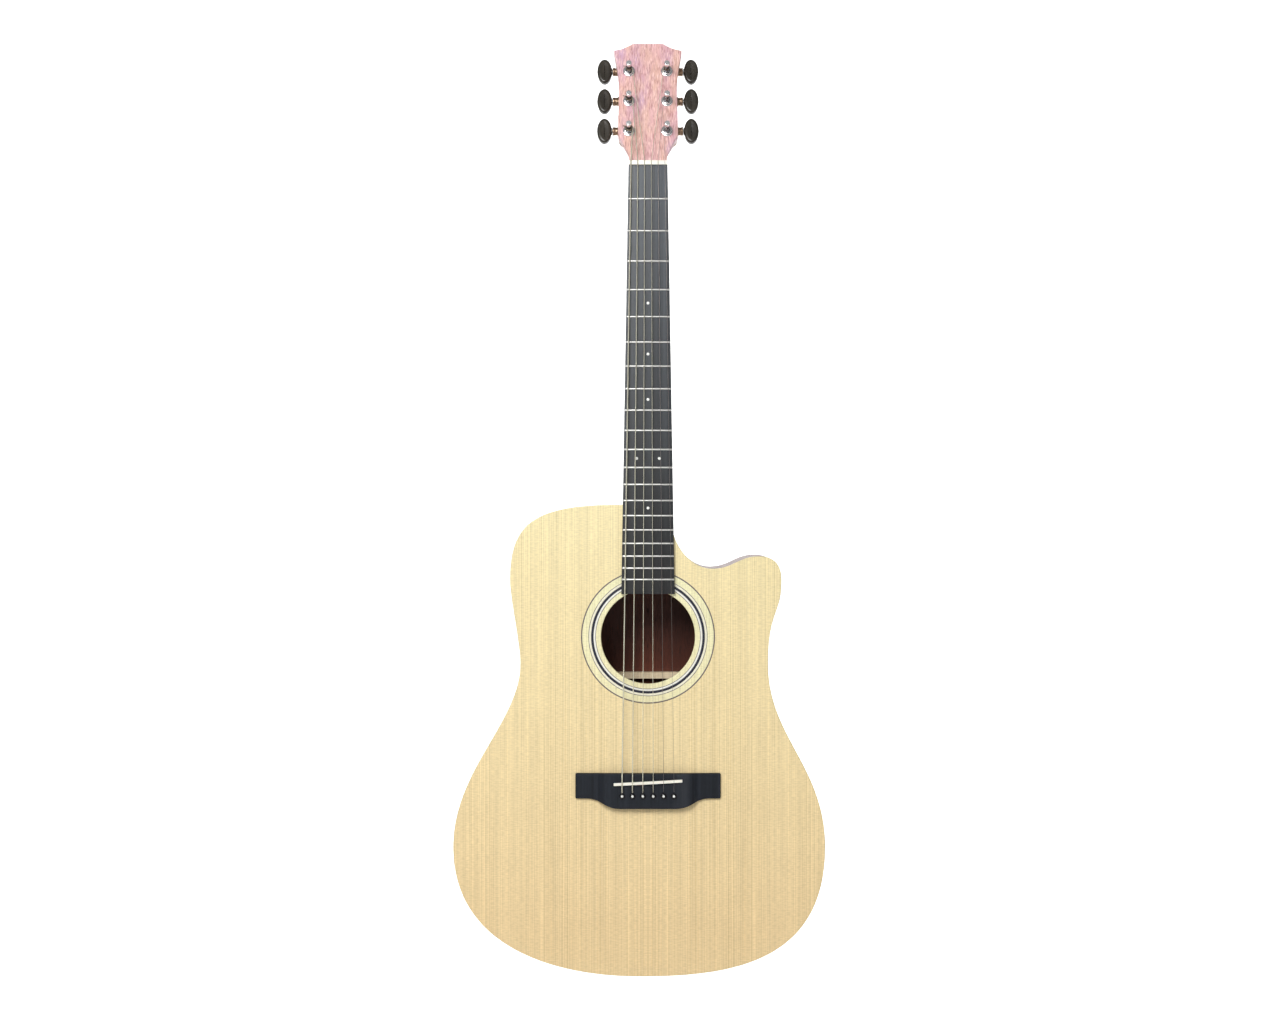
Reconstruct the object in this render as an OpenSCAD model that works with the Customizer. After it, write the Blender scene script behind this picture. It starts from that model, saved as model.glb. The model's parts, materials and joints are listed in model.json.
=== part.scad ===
// Cutaway steel-string acoustic guitar, upright: +Z runs from the tail to the headstock,
// the soundboard faces -Y, and +X is the treble side. Millimetres.
// The origin is the centre of the end pin's head, on the neck's centre line.

/* [Body outline, heights above the tail] */
// Length of the body, tail to neck joint
body_len = 502.6; // [500:0.1:506]
// Widest point of the lower bout: height, bass half-width, treble half-width
lower_h = 138; // [130:1:146]
lower_bass = 207.5; // [202:0.5:210]
lower_treble = 188.8; // [184:0.1:196]
// Waist: height, bass half-width, treble half-width
waist_h = 333; // [328:1:338]
waist_bass = 136; // [132:1:138]
waist_treble = 128; // [126:1:134]
// Upper bout: height of its widest point, bass half-width, treble half-width at the horn
upper_h = 422; // [418:1:424]
upper_bass = 147; // [144:1:152]
upper_treble = 142.4; // [139:0.1:146]
// Tip of the cutaway's horn
horn_x = 118; // [114:1:120]
horn_h = 447.5; // [445:0.5:449]
// Lowest point of the cutaway's scoop
scoop_x = 69; // [66:1:72]
scoop_h = 434.3; // [431:0.1:436]
// Half-width that the cutaway reaches where it meets the neck
cutaway_x = 26; // [25:0.5:26.5]

/* [Body box] */
// Depth at the tail
depth_tail = 120; // [116:1:124]
// Depth at the neck joint
depth_neck = 102; // [98:1:106]
// Soundboard thickness
top_t = 3; // [2.6:0.1:3.2]
// Back thickness
back_t = 2.8; // [2.4:0.1:3]
// Side thickness
side_t = 2.2; // [2:0.1:2.4]
// Lining strip: width and depth
lining_w = 6; // [5:0.5:6.5]
lining_d = 12; // [10:1:14]
// Soundhole centre above the tail, and radius
hole_h = 362; // [360:1:364]
hole_r = 50; // [48:0.5:51]

/* [Neck] */
// Scale length, which spaces the frets
scale_len = 643; // [642:0.1:645]
// How much further than the scale length the saddle sits, under the bass and the treble string
bass_shift = 14.45; // [12:0.05:15]
treble_shift = 11.55; // [9:0.05:12]
// Height of the nut's front edge above the tail
nut_h = 863.5; // [862:0.5:868]
// Fretboard: width at the nut, width at its end, thickness and playing radius
board_w_nut = 41.6; // [41:0.1:43]
board_w_end = 56.8; // [55:0.1:58]
board_t = 6; // [5.5:0.1:6.5]
board_r = 400; // [350:10:500]
// Lower end of the fretboard above the tail
board_end_h = 407.5; // [405:0.5:409]
// Number of frets
fret_count = 20; // [18:1:20]
// Neck wood depth at the nut and at the body, without the fretboard
neck_d_nut = 15.5; // [15:0.5:17]
neck_d_body = 17; // [16.5:0.5:19]
// Height of the heel's sweep above the body
heel_len = 82; // [76:1:90]

/* [Headstock] */
// Backward tilt of the headstock
head_tilt = 15; // [13:1:16]
// Length of the face, nut to crown
head_len = 136.9; // [135:0.1:139]
// Thickness
head_t = 15; // [14.5:0.5:15.5]
// First post's distance from the nut, and post spacing
post_first = 34.8; // [34.5:0.1:36]
post_gap = 34.8; // [33.5:0.1:35]
// Posts' distance from the centre line
post_x = 20.3; // [20:0.1:21]

/* [Bridge and strings] */
// Bridge: length, height in the middle, height of the wings
bridge_w = 154.5; // [150:0.5:158]
bridge_t = 9; // [8.5:0.5:9.5]
wing_t = 4; // [3.5:0.5:5]
// String height over the soundboard plane at the saddle and at the nut
saddle_top = 12.5; // [12:0.1:13.5]
nut_top = 7.6; // [7.5:0.1:8]
// String spacing at the nut and at the bridge
nut_gap = 7.2; // [7:0.1:7.4]
pin_gap = 11; // [10.6:0.1:11.2]
// Height of the row of bridge pins above the tail
pin_h = 193.3; // [191:0.1:195]

/* [Tuning gear] */
// Teeth on the post's gear
gear_teeth = 14; // [14:1:14]
// Distance from post axis to worm axis
worm_offset = 8.5; // [8.5:0.1:8.6]
// Button: length across, width along the shaft, thickness
button_l = 28; // [24:0.5:29]
button_w = 16; // [14:0.5:17]
button_t = 8.5; // [7:0.5:9]

/* [Hidden] */
$fn = 64;
STRINGS = ["low_e", "a", "d", "g", "b", "high_e"];
GAUGES_IN = [0.053, 0.042, 0.032, 0.024, 0.016, 0.012];

// Planes of the body box
tail_z = 8;
front_y = -depth_tail / 2;
inner_y = front_y + top_t;
back_y = depth_tail / 2;
back_angle = atan((depth_tail - depth_neck) / body_len);
body_top = tail_z + body_len;
reach = 700;
joint_slack = 0.05;

// Stations along the neck
nut_z = tail_z + nut_h;
nut_t = 4.5;
head_z = nut_z + nut_t;
veneer = 1;
board_end_z = tail_z + board_end_h;
heel_top = body_top + heel_len;
glue_y = front_y + 13;
fret_crown = 1.1;
tang_d = 1.8;
tang_t = 0.56;
heel_cap_t = 2;

// Bridge
bridge_front = 217;
wing_back = 190;
belly_back = 179.4;
belly_half = 30;
belly_run = 66;
slot_floor = 4.5;
saddle_len = 73;
saddle_t = 3;
saddle_slant = atan((bass_shift - treble_shift) / (5 * pin_gap));
saddle_mid_z = nut_z - scale_len - (bass_shift + treble_shift) / 2;
pin_z = tail_z + pin_h;
pin_r = 2.4;
pin_head_r = 2.9;
pin_reach = 3.7;
bridge_plate_t = 2.5;

// Rosette: [inner radius, outer radius] of each ring, and the inlay's depth
DARK_RINGS = [[55.4, 56], [57.9, 60.6], [62.8, 63.4], [70, 71.3]];
WHITE_RINGS = [[56, 57.9], [60.6, 62.8]];
inlay_d = 1.2;

// Braces
brace_w = 7;
brace_d = 13;
x_cross_h = 288;
x_angle = 49;
BACK_BRACE_H = [112, 214, 314, 424];
block_w = 60;
neck_block_h = 440;
tail_block_h = 20;

// Tuning gear, in the headstock's own frame: x outward, y to the crown, z out of the face
gear_z = -20.4;
housing_back = -26.8;
cover_t = 1.2;
post_r = 3;
shaft_r = 2.1;
run_gap = 0.06;
gear_r = 6;
gear_root = 5.1;
thread_mid_r = 2.7;
thread_rise = 0.55;
thread_len = 9.2;
thread_pitch = 2 * PI * (worm_offset - thread_mid_r - 0.05) / gear_teeth;
post_top = 21;
wind_z = 7.5;
barrel_end = 17.9;
button_mid = 26.5;
hole_in_head = 4.6;
washer_r = 6.5;
washer_t = 1.2;
hex_r = 5.6;
hex_h = 3;
// Screw that holds the housing, towards the centre line
screw_x = -12.5;
screw_y = 3.1;
screw_r = 1.1;
cord_hole_z = 11.6;
// Housing of one tuner: its far side, its near side, its lower and upper ends
HOUSING = [-9, 11.2, -8.4, 14.6];
housing_wall = 1.4;

// Points of a cubic curve from a to d with handles b and c; the end point is left out
function curve(a, b, c, d, n) = [for (i = [0 : n - 1]) let (t = i / n, u = 1 - t)
    u * u * u * a + 3 * u * u * t * b + 3 * u * t * t * c + t * t * t * d];
// Curve from a, leaving along p, to d, arriving along q
function leg(a, p, d, q, n) = curve(a, a + p, d - q, d, n);

function body_points() = concat(
    leg([-27, body_len], [-94, 0], [-upper_bass, upper_h], [0, -62], 16),
    leg([-upper_bass, upper_h], [0, -19], [-waist_bass, waist_h], [0, -22], 8),
    leg([-waist_bass, waist_h], [0, -61], [-lower_bass, lower_h], [0, -82], 18),
    leg([-lower_bass, lower_h], [0, -105], [-8, 0], [95, 0], 26),
    leg([-8, 0], [97, 0], [lower_treble, lower_h], [0, 123], 26),
    leg([lower_treble, lower_h], [0, 86], [waist_treble, waist_h], [0, 78], 18),
    leg([waist_treble, waist_h], [0, 57], [upper_treble, upper_h], [0, 37], 10),
    leg([upper_treble, upper_h], [0, 24], [horn_x, horn_h], [-8, 0], 12),
    leg([horn_x, horn_h], [-21, 0], [scoop_x, scoop_h], [-21, 0], 10),
    leg([scoop_x, scoop_h], [-27, 0], [cutaway_x, 480], [0, 15], 14),
    [[cutaway_x, 480], [cutaway_x, body_len]]);

// A half outline from the centre line round to it again, closed by its mirror image
function both_sides(half) = concat(half,
    [for (k = [len(half) - 1 : -1 : 0]) if (half[k].x != 0) [-half[k].x, half[k].y]]);

function board_half(z) = (board_w_nut + (board_w_end - board_w_nut)
    * (nut_z - z) / (nut_z - board_end_z)) / 2;
function crown_drop(x) = board_r - sqrt(board_r * board_r - x * x);
function fret_z(n) = nut_z - scale_len * (1 - pow(2, -n / 12));
function gauge_r(i) = GAUGES_IN[i] * 25.4 / 2;
function side_of(i) = i < 3 ? -1 : 1;
function post_s(i) = post_first + post_gap * (i < 3 ? i : 5 - i);
// Headstock frame to part frame
function from_head(p) = [p.x,
    front_y - veneer + p.y * sin(head_tilt) - p.z * cos(head_tilt),
    head_z + p.y * cos(head_tilt) + p.z * sin(head_tilt)];

module on_head() {
    translate([0, front_y - veneer, head_z]) rotate([90 - head_tilt, 0, 0]) children();
}
// Places children at tuner i, with x pointing outward
module at_tuner(i) {
    on_head() translate([side_of(i) * post_x, post_s(i), 0])
        mirror([side_of(i) < 0 ? 1 : 0, 0, 0]) children();
}
module at_tuners() {
    for (i = [0 : 5]) at_tuner(i) children();
}
// Extrudes a front-view outline from y0 back to y1
module upright(y0, y1) {
    translate([0, y1, 0]) rotate([90, 0, 0]) linear_extrude(y1 - y0) children();
}
module outline(inset = 0) {
    translate([0, tail_z]) offset(delta = -inset) polygon(body_points());
}
// Slab parallel to the back, from d0 to d1 inside its outer face
module back_slab(d0, d1) {
    translate([0, back_y, tail_z]) rotate([back_angle, 0, 0])
        translate([-reach / 2, -d1, -50]) cube([reach, d1 - d0, reach]);
}
// Space inside the body box, inset from its outline
module inside(inset) {
    intersection() {
        upright(inner_y, back_y + 10) outline(inset);
        back_slab(back_t, 2 * depth_tail);
    }
}
module box(x0, x1, y0, y1, z0, z1) {
    translate([x0, y0, z0]) cube([x1 - x0, y1 - y0, z1 - z0]);
}
// Round bar along the body's depth, through the soundboard side
module depth_hole(x, z, r) {
    translate([x, inner_y + 20, z]) rotate([90, 0, 0]) cylinder(r = r, h = 60);
}
module board_round(height) {
    translate([0, front_y - height + board_r, tail_z])
        cylinder(r = board_r, h = nut_h + 50, $fn = 180);
}

// ---- Body box ----
module rings(list, y0, y1) {
    upright(y0, y1) translate([0, tail_z + hole_h]) for (r = list) difference() {
        circle(r = r[1], $fn = 128);
        circle(r = r[0], $fn = 128);
    }
}
module pin_holes() {
    for (i = [0 : 5]) {
        x = (i - 2.5) * pin_gap;
        depth_hole(x, pin_z, pin_r + joint_slack);
        box(x - 0.95, x + 0.95, front_y - bridge_t - 1, inner_y + 10, pin_z, pin_z + pin_reach + 0.9);
    }
}
module soundboard() {
    color([0.91, 0.8, 0.58]) difference() {
        upright(front_y, inner_y) outline();
        depth_hole(0, tail_z + hole_h, hole_r);
        rings(concat(DARK_RINGS, WHITE_RINGS), front_y - 1, front_y + inlay_d);
        pin_holes();
    }
}
module back_plate() {
    color([0.42, 0.22, 0.13]) intersection() {
        upright(inner_y, back_y + 10) outline();
        back_slab(0, back_t);
    }
}
module side_ring() {
    difference() {
        inside(0);
        upright(inner_y - 1, back_y + 20) outline(side_t);
        box(-8, 8, inner_y - 1, inner_y + 10, body_top - 20, body_top + 1);
        translate([0, 0, tail_z - 10]) cylinder(r = 4 + joint_slack, h = 30);
    }
}
module side_bass() {
    color([0.45, 0.24, 0.14]) intersection() {
        side_ring();
        box(-reach, 0, -reach, reach, 0, reach);
    }
}
module side_treble() {
    color([0.45, 0.24, 0.14]) intersection() {
        side_ring();
        box(0, reach, -reach, reach, 0, reach);
    }
}
module neck_block_space(grow = 0) {
    box(-34 - grow, block_w - 34 + grow, -reach, reach, tail_z + neck_block_h - grow, body_top + 1);
}
module tail_block_space(grow = 0) {
    box(-40 - grow, 40 + grow, -reach, reach, 0, tail_z + tail_block_h + grow);
}
module neck_block() {
    color([0.55, 0.33, 0.2]) difference() {
        intersection() {
            inside(side_t);
            neck_block_space();
        }
        box(-4, 4, inner_y - 1, inner_y + 8, tail_z + neck_block_h - 1, body_top + 1);
    }
}
module tail_block() {
    color([0.55, 0.33, 0.2]) difference() {
        intersection() {
            inside(side_t);
            tail_block_space();
        }
        cylinder(r = 4 + joint_slack, h = 60);
    }
}
module lining_ring() {
    difference() {
        inside(side_t);
        upright(inner_y - 1, back_y + 20) outline(side_t + lining_w);
        neck_block_space(0.2);
        tail_block_space(0.2);
    }
}
module lining_top() {
    color([0.6, 0.4, 0.26]) intersection() {
        lining_ring();
        box(-reach, reach, inner_y, inner_y + lining_d, 0, reach);
    }
}
module lining_back() {
    color([0.6, 0.4, 0.26]) intersection() {
        lining_ring();
        back_slab(back_t, back_t + lining_d);
    }
}
// A brace glued under the soundboard, centred at (x, h) and turned by a degrees
module top_bar(x, h, a, len, w, d) {
    translate([x, inner_y, tail_z + h]) rotate([0, -a, 0])
        translate([-len / 2, 0, -w / 2]) cube([len, d, w]);
}
module between_linings() {
    intersection() {
        children();
        inside(side_t + lining_w + 0.3);
    }
}
module x_braces() {
    color([0.9, 0.8, 0.6]) between_linings() union() {
        top_bar(0, x_cross_h, 90 - x_angle, 560, brace_w, brace_d);
        top_bar(0, x_cross_h, 90 + x_angle, 560, brace_w, brace_d);
    }
}
module tone_bars() {
    color([0.9, 0.8, 0.6]) {
        top_bar(4, 138, 14, 190, brace_w, brace_d);
        top_bar(0, 88, 14, 190, brace_w, brace_d);
    }
}
module upper_brace() {
    color([0.9, 0.8, 0.6]) between_linings()
        box(-reach / 2, reach / 2, inner_y, inner_y + brace_d, tail_z + 420, tail_z + 432);
}
module bridge_plate() {
    color([0.8, 0.66, 0.45]) difference() {
        upright(inner_y, inner_y + bridge_plate_t) translate([0, tail_z])
            polygon([[-62, 222], [62, 222], [85, 174], [-85, 174]]);
        pin_holes();
    }
}
module back_bars() {
    intersection() {
        for (h = BACK_BRACE_H)
            box(-reach / 2, reach / 2, -reach, reach, tail_z + h - brace_w / 2, tail_z + h + brace_w / 2);
        back_slab(back_t, back_t + brace_d);
    }
}
module back_braces() {
    color([0.88, 0.76, 0.55]) between_linings() back_bars();
}
module back_strip() {
    color([0.5, 0.28, 0.17]) difference() {
        intersection() {
            box(-8, 8, -reach, reach, tail_z + tail_block_h + 1, tail_z + neck_block_h - 1);
            back_slab(back_t, back_t + 1.6);
        }
        back_bars();
    }
}

// ---- Bridge ----
function bridge_side() = concat(
    leg([belly_run, wing_back], [-16, 0], [belly_half, belly_back], [-15, 0], 12),
    [[belly_half, belly_back]]);
module bridge_outline() {
    half = bridge_w / 2;
    translate([0, tail_z])
        polygon(both_sides(concat([[half, bridge_front], [half, wing_back]], bridge_side())));
}
// Height of the bridge across its length, as seen from its end of the neck
module bridge_section() {
    half = bridge_w / 2;
    fall = leg([45, bridge_t], [4, 0], [54, wing_t], [3, 0], 10);
    polygon(both_sides(concat(fall, [[54, wing_t], [half, wing_t - 0.5], [half, 0]])));
}
module saddle_bar(t, len, y0, y1) {
    translate([0, 0, saddle_mid_z]) rotate([0, -saddle_slant, 0])
        box(-len / 2, len / 2, y0, y1, -t / 2, t / 2);
}
module bridge() {
    color([0.16, 0.16, 0.18]) difference() {
        intersection() {
            upright(front_y - bridge_t, front_y) bridge_outline();
            translate([0, front_y, tail_z + belly_back - 5])
                mirror([0, 1, 0]) linear_extrude(60) bridge_section();
        }
        saddle_bar(saddle_t, saddle_len, front_y - bridge_t - 1, front_y - slot_floor);
        pin_holes();
    }
}
module saddle() {
    color([0.95, 0.93, 0.85]) intersection() {
        saddle_bar(saddle_t, saddle_len, front_y - saddle_top - 1, front_y - slot_floor);
        board_round(saddle_top);
    }
}
module bridge_pins() {
    tip = bridge_t + top_t + bridge_plate_t + 4;
    color([0.12, 0.12, 0.13]) for (i = [0 : 5])
        translate([(i - 2.5) * pin_gap, front_y - bridge_t, pin_z]) rotate([90, 0, 0])
            rotate_extrude() polygon([[0, -tip], [pin_r - 0.6, -tip], [pin_r, 0],
                [pin_head_r, 0], [pin_head_r, 1], [pin_head_r - 0.6, 2.2], [0, 2.6]]);
}
module pin_dots() {
    color([0.93, 0.93, 0.88]) for (i = [0 : 5])
        translate([(i - 2.5) * pin_gap, front_y - bridge_t - 2.6, pin_z]) rotate([90, 0, 0])
            cylinder(r = 1.1, h = 0.3);
}
module ball_ends() {
    color("goldenrod") for (i = [0 : 5])
        translate([(i - 2.5) * pin_gap - 1.6, inner_y + bridge_plate_t + 2, pin_z + pin_reach + 1])
            rotate([0, 90, 0]) cylinder(r = 1.9, h = 3.2);
}
module rosette_dark() {
    color([0.15, 0.14, 0.15]) rings(DARK_RINGS, front_y, front_y + inlay_d);
}
module rosette_white() {
    color([0.92, 0.9, 0.84]) rings(WHITE_RINGS, front_y, front_y + inlay_d);
}

// ---- Neck ----
// Space as wide as the fretboard, between two heights
module board_space(z0, z1, y0, y1, inset = 0) {
    w0 = board_half(z0) - inset;
    w1 = board_half(z1) - inset;
    upright(y0, y1) polygon([[-w0, z0], [w0, z0], [w1, z1], [-w1, z1]]);
}
module fret_ring(n) {
    translate([0, front_y - board_t + board_r, fret_z(n)]) rotate([0, 0, 260])
        rotate_extrude(angle = 20, $fn = 180) {
            translate([board_r, 0]) intersection() {
                circle(r = fret_crown, $fn = 24);
                translate([0, -fret_crown]) square([fret_crown, 2 * fret_crown]);
            }
            translate([board_r - tang_d, -tang_t / 2]) square([tang_d, tang_t]);
        }
}
module fret_slots() {
    for (n = [1 : fret_count])
        box(-40, 40, front_y - board_t - 2, front_y - board_t + tang_d + crown_drop(board_w_end / 2) + 0.2,
            fret_z(n) - tang_t / 2 - 0.02, fret_z(n) + tang_t / 2 + 0.02);
}
// Position dots: [fret, sideways offset]
DOTS = [[5, 0], [7, 0], [9, 0], [12, -12], [12, 12], [15, 0]];
module dot_bars(r) {
    for (d = DOTS)
        translate([d[1], front_y - board_t + 2, (fret_z(d[0]) + fret_z(d[0] - 1)) / 2])
            rotate([90, 0, 0]) cylinder(r = r, h = 6);
}
module fretboard() {
    color([0.2, 0.19, 0.2]) difference() {
        intersection() {
            board_space(board_end_z, nut_z, front_y - 10, front_y);
            board_round(board_t);
        }
        fret_slots();
        dot_bars(1.5);
    }
}
module frets() {
    color([0.85, 0.85, 0.83]) intersection() {
        for (n = [1 : fret_count]) fret_ring(n);
        board_space(board_end_z, nut_z, front_y - 10, front_y, 0.3);
    }
}
module fret_markers() {
    color([0.93, 0.93, 0.9]) intersection() {
        dot_bars(1.48);
        board_round(board_t);
    }
}
module nut() {
    color([0.95, 0.93, 0.86]) difference() {
        intersection() {
            box(-board_w_nut / 2, board_w_nut / 2, front_y - 10, front_y, nut_z, head_z);
            board_round(nut_top + 0.6);
        }
        for (i = [0 : 5]) {
            x = (i - 2.5) * nut_gap;
            w = gauge_r(i) + 0.15;
            box(x - w, x + w, front_y - 12, front_y - nut_top + crown_drop(x), nut_z - 1, head_z + 1);
        }
    }
}
// Round-backed neck, as a cone cut to the fretboard's width
module neck_form(z0, z1) {
    w0 = board_half(body_top);
    w1 = board_half(head_z);
    r0 = (w0 * w0 + neck_d_body * neck_d_body) / (2 * neck_d_body);
    r1 = (w1 * w1 + neck_d_nut * neck_d_nut) / (2 * neck_d_nut);
    y0 = front_y + neck_d_body - r0;
    y1 = front_y + neck_d_nut - r1;
    len = head_z - body_top;
    intersection() {
        board_space(z0, z1, front_y, front_y + 40);
        translate([0, y0, body_top]) rotate([-atan((y1 - y0) / len), 0, 0])
            cylinder(r1 = r0, r2 = r1, h = len + 2, $fn = 96);
    }
}
module rod_channel() {
    box(-3.2, 3.2, front_y - 1, front_y + 9.2, body_top - 1, nut_z - 14);
}
module neck_shaft() {
    color([0.6, 0.36, 0.25]) difference() {
        neck_form(body_top, head_z);
        box(-40, 40, glue_y, glue_y + 60, body_top - 1, heel_top);
        rod_channel();
    }
}
module heel_wedge() {
    cap_y = front_y + depth_neck - heel_cap_t;
    cap_z = body_top + 24;
    side = concat([[glue_y, body_top], [cap_y, body_top]],
        leg([cap_y, cap_z], [-46, 2], [glue_y, heel_top], [-2, 30], 16), [[glue_y, heel_top]]);
    half = concat([[25, glue_y]], leg([25, glue_y], [0, 40], [12, cap_y], [-2, 30], 12),
        [[12, cap_y]]);
    intersection() {
        rotate([90, 0, 90]) translate([0, 0, -40]) linear_extrude(80) polygon(side);
        translate([0, 0, body_top]) linear_extrude(heel_len + 10) polygon(both_sides(half));
    }
}
module neck_heel() {
    color([0.6, 0.36, 0.25]) union() {
        heel_wedge();
        intersection() {
            neck_form(body_top, heel_top);
            box(-40, 40, glue_y, glue_y + 40, body_top, heel_top);
        }
    }
}
module heel_cap() {
    cap_y = front_y + depth_neck;
    color([0.3, 0.15, 0.1]) box(-12, 12, cap_y - heel_cap_t, cap_y, body_top, body_top + 24);
}
module truss_rod() {
    z0 = tail_z + neck_block_h + 4;
    color("silver") translate([0, inner_y + 3.1, z0]) {
        cylinder(r = 2.9, h = 10, $fn = 6);
        translate([0, 0, 10]) cylinder(r = 2.5, h = nut_z - 16 - z0 - 10);
    }
}

// ---- Headstock and tuning gear ----
function head_half() = concat([[19.5, -8], [19.5, 0]],
    leg([19.5, 0], [1, 10], [32, 29.5], [4, 6], 8),
    leg([32, 29.5], [0.5, 20], [31.2, 83.5], [0, 20], 6),
    leg([31.2, 83.5], [0, 20], [36.6, head_len - 8], [2, 15], 6),
    leg([36.6, head_len - 8], [-7, 0.5], [16.5, head_len], [-3, 2.5], 8),
    [[16.5, head_len]]);
module headstock() {
    color([0.72, 0.5, 0.42]) difference() {
        on_head() translate([0, 0, -head_t]) linear_extrude(head_t) polygon(both_sides(head_half()));
        box(-60, 60, -reach, reach, 0, head_z);
        at_tuners() {
            translate([0, 0, -head_t - 1]) cylinder(r = hole_in_head, h = head_t + 2);
            translate([screw_x, screw_y, -head_t - 1]) cylinder(r = screw_r, h = 9);
        }
    }
}
module housing_box(z0, z1, inset = 0) {
    x0 = HOUSING[0] + inset;
    x1 = HOUSING[1] - inset;
    y0 = HOUSING[2] + inset;
    y1 = HOUSING[3] - inset;
    c = 3;
    foot = 5;
    translate([0, 0, z0]) linear_extrude(z1 - z0) polygon([[x0 + c, y0], [x1 - foot, y0], [x1, y0 + foot],
        [x1, y1 - c], [x1 - c, y1], [x0 + c, y1], [x0, y1 - c], [x0, y0 + c]]);
}
module tuner_housings() {
    color([0.45, 0.36, 0.26]) at_tuners() difference() {
        union() {
            housing_box(housing_back + cover_t, -head_t);
            box(screw_x - 3, HOUSING[0] + 0.4, screw_y - 3.6, screw_y + 3.6, -head_t - 2, -head_t);
            translate([11, worm_offset, gear_z]) rotate([0, 90, 0])
                cylinder(r = 4, h = barrel_end - 11);
        }
        housing_box(housing_back - 1, -head_t - 1.5, housing_wall);
        translate([0, 0, -head_t - 3]) cylinder(r = post_r + run_gap, h = 5);
        translate([-8.5, worm_offset, gear_z]) rotate([0, 90, 0])
            cylinder(r = shaft_r + run_gap, h = 40);
        translate([screw_x, screw_y, -head_t - 3]) cylinder(r = screw_r, h = 5);
    }
}
module tuner_covers() {
    color([0.45, 0.36, 0.26]) at_tuners() difference() {
        housing_box(housing_back, housing_back + cover_t);
        translate([0, 0, housing_back - 1]) cylinder(r = 2 + run_gap, h = 4);
    }
}
module tuner_bushings() {
    color([0.8, 0.8, 0.82]) at_tuners() difference() {
        union() {
            translate([0, 0, -11]) cylinder(r = hole_in_head - 0.1, h = 11 + washer_t + 1);
            translate([0, 0, washer_t]) cylinder(r = hex_r, h = hex_h, $fn = 6);
        }
        translate([0, 0, -12]) cylinder(r = post_r + run_gap, h = 20);
    }
}
module tuner_washers() {
    color([0.8, 0.8, 0.82]) at_tuners() rotate_extrude()
        polygon([[hole_in_head, 0], [washer_r, 0], [washer_r, washer_t / 2],
            [washer_r - 0.6, washer_t], [hole_in_head, washer_t]]);
}
module tuner_screws() {
    color([0.45, 0.36, 0.26]) at_tuners() translate([screw_x, screw_y, -head_t - 2]) {
        translate([0, 0, -1.4]) cylinder(r = 2.3, h = 1.4);
        cylinder(r = screw_r - joint_slack, h = 9);
    }
}
module tuner_button(i) {
    oval = [for (k = [0 : 31]) [button_w / 2 * cos(k * 360 / 32), button_l / 2 * sin(k * 360 / 32)]];
    color([0.2, 0.14, 0.1]) at_tuner(i) translate([0, worm_offset, gear_z]) difference() {
        union() {
            translate([button_mid, 0, -button_t / 2]) linear_extrude(button_t) polygon(oval);
            translate([barrel_end + 0.3, 0, 0]) rotate([0, 90, 0]) cylinder(r = 3.6, h = 5);
        }
        translate([barrel_end, 0, 0]) rotate([0, 90, 0]) cylinder(r = shaft_r + joint_slack, h = 8);
    }
}
module tuner_worm(i) {
    turns = thread_len / thread_pitch;
    color("silver") at_tuner(i) translate([0, worm_offset, gear_z]) rotate([0, 90, 0]) {
        translate([0, 0, -8.4]) cylinder(r = shaft_r, h = barrel_end + 15.4);
        translate([0, 0, -thread_len / 2]) rotate(90 - 180 * turns)
            linear_extrude(thread_len, twist = -360 * turns, slices = 40, $fn = 14)
                translate([thread_rise, 0]) circle(r = thread_mid_r, $fn = 14);
    }
}
// One gear tooth, pointing along +y: [half-width, radius] pairs
module gear_tooth() {
    polygon([[-0.8, gear_root - 0.4], [-0.72, gear_root + 0.15], [-0.4, 5.65], [-0.14, gear_r],
        [0.14, gear_r], [0.4, 5.65], [0.72, gear_root + 0.15], [0.8, gear_root - 0.4]]);
}
module tuner_post(i) {
    color([0.82, 0.82, 0.84]) at_tuner(i) difference() {
        union() {
            translate([0, 0, gear_z - 1]) linear_extrude(2) {
                circle(r = gear_root);
                for (k = [0 : gear_teeth - 1]) rotate(k * 360 / gear_teeth) gear_tooth();
            }
            rotate_extrude() polygon([[0, housing_back + 0.3], [2, housing_back + 0.3], [2, gear_z - 2],
                [4, gear_z - 2], [4, gear_z + 2], [post_r, gear_z + 2], [post_r, 5], [2.6, 6],
                [2.4, wind_z], [2.6, 13], [post_r, 14.5], [post_r, post_top - 0.8],
                [post_r - 0.8, post_top], [0, post_top]]);
        }
        translate([-10, 0, cord_hole_z]) rotate([0, 90, 0]) cylinder(r = 0.8, h = 20);
    }
}

// ---- Strings ----
// From the ball end up through the bridge, over the saddle and the nut, to the post
function string_points(i) = let (
    r = gauge_r(i), xn = (i - 2.5) * nut_gap, xb = (i - 2.5) * pin_gap,
    hole_z = pin_z + pin_reach,
    y_hole = front_y - bridge_t - r - 0.2,
    y_saddle = front_y - saddle_top + crown_drop(xb) - r - joint_slack,
    y_nut = front_y - nut_top + crown_drop(xn) - r - joint_slack)
    [[xb, inner_y + bridge_plate_t - 0.1, hole_z],
     [xb, y_hole + 0.8, hole_z],
     [xb, y_hole, hole_z + 0.8],
     [xb, y_saddle, saddle_mid_z + xb * tan(saddle_slant)],
     [xn, y_nut, nut_z],
     [xn, y_nut, head_z],
     from_head([side_of(i) * (post_x - post_r - r - 0.2), post_s(i), wind_z])];
function unit(v) = v / norm(v);
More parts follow.
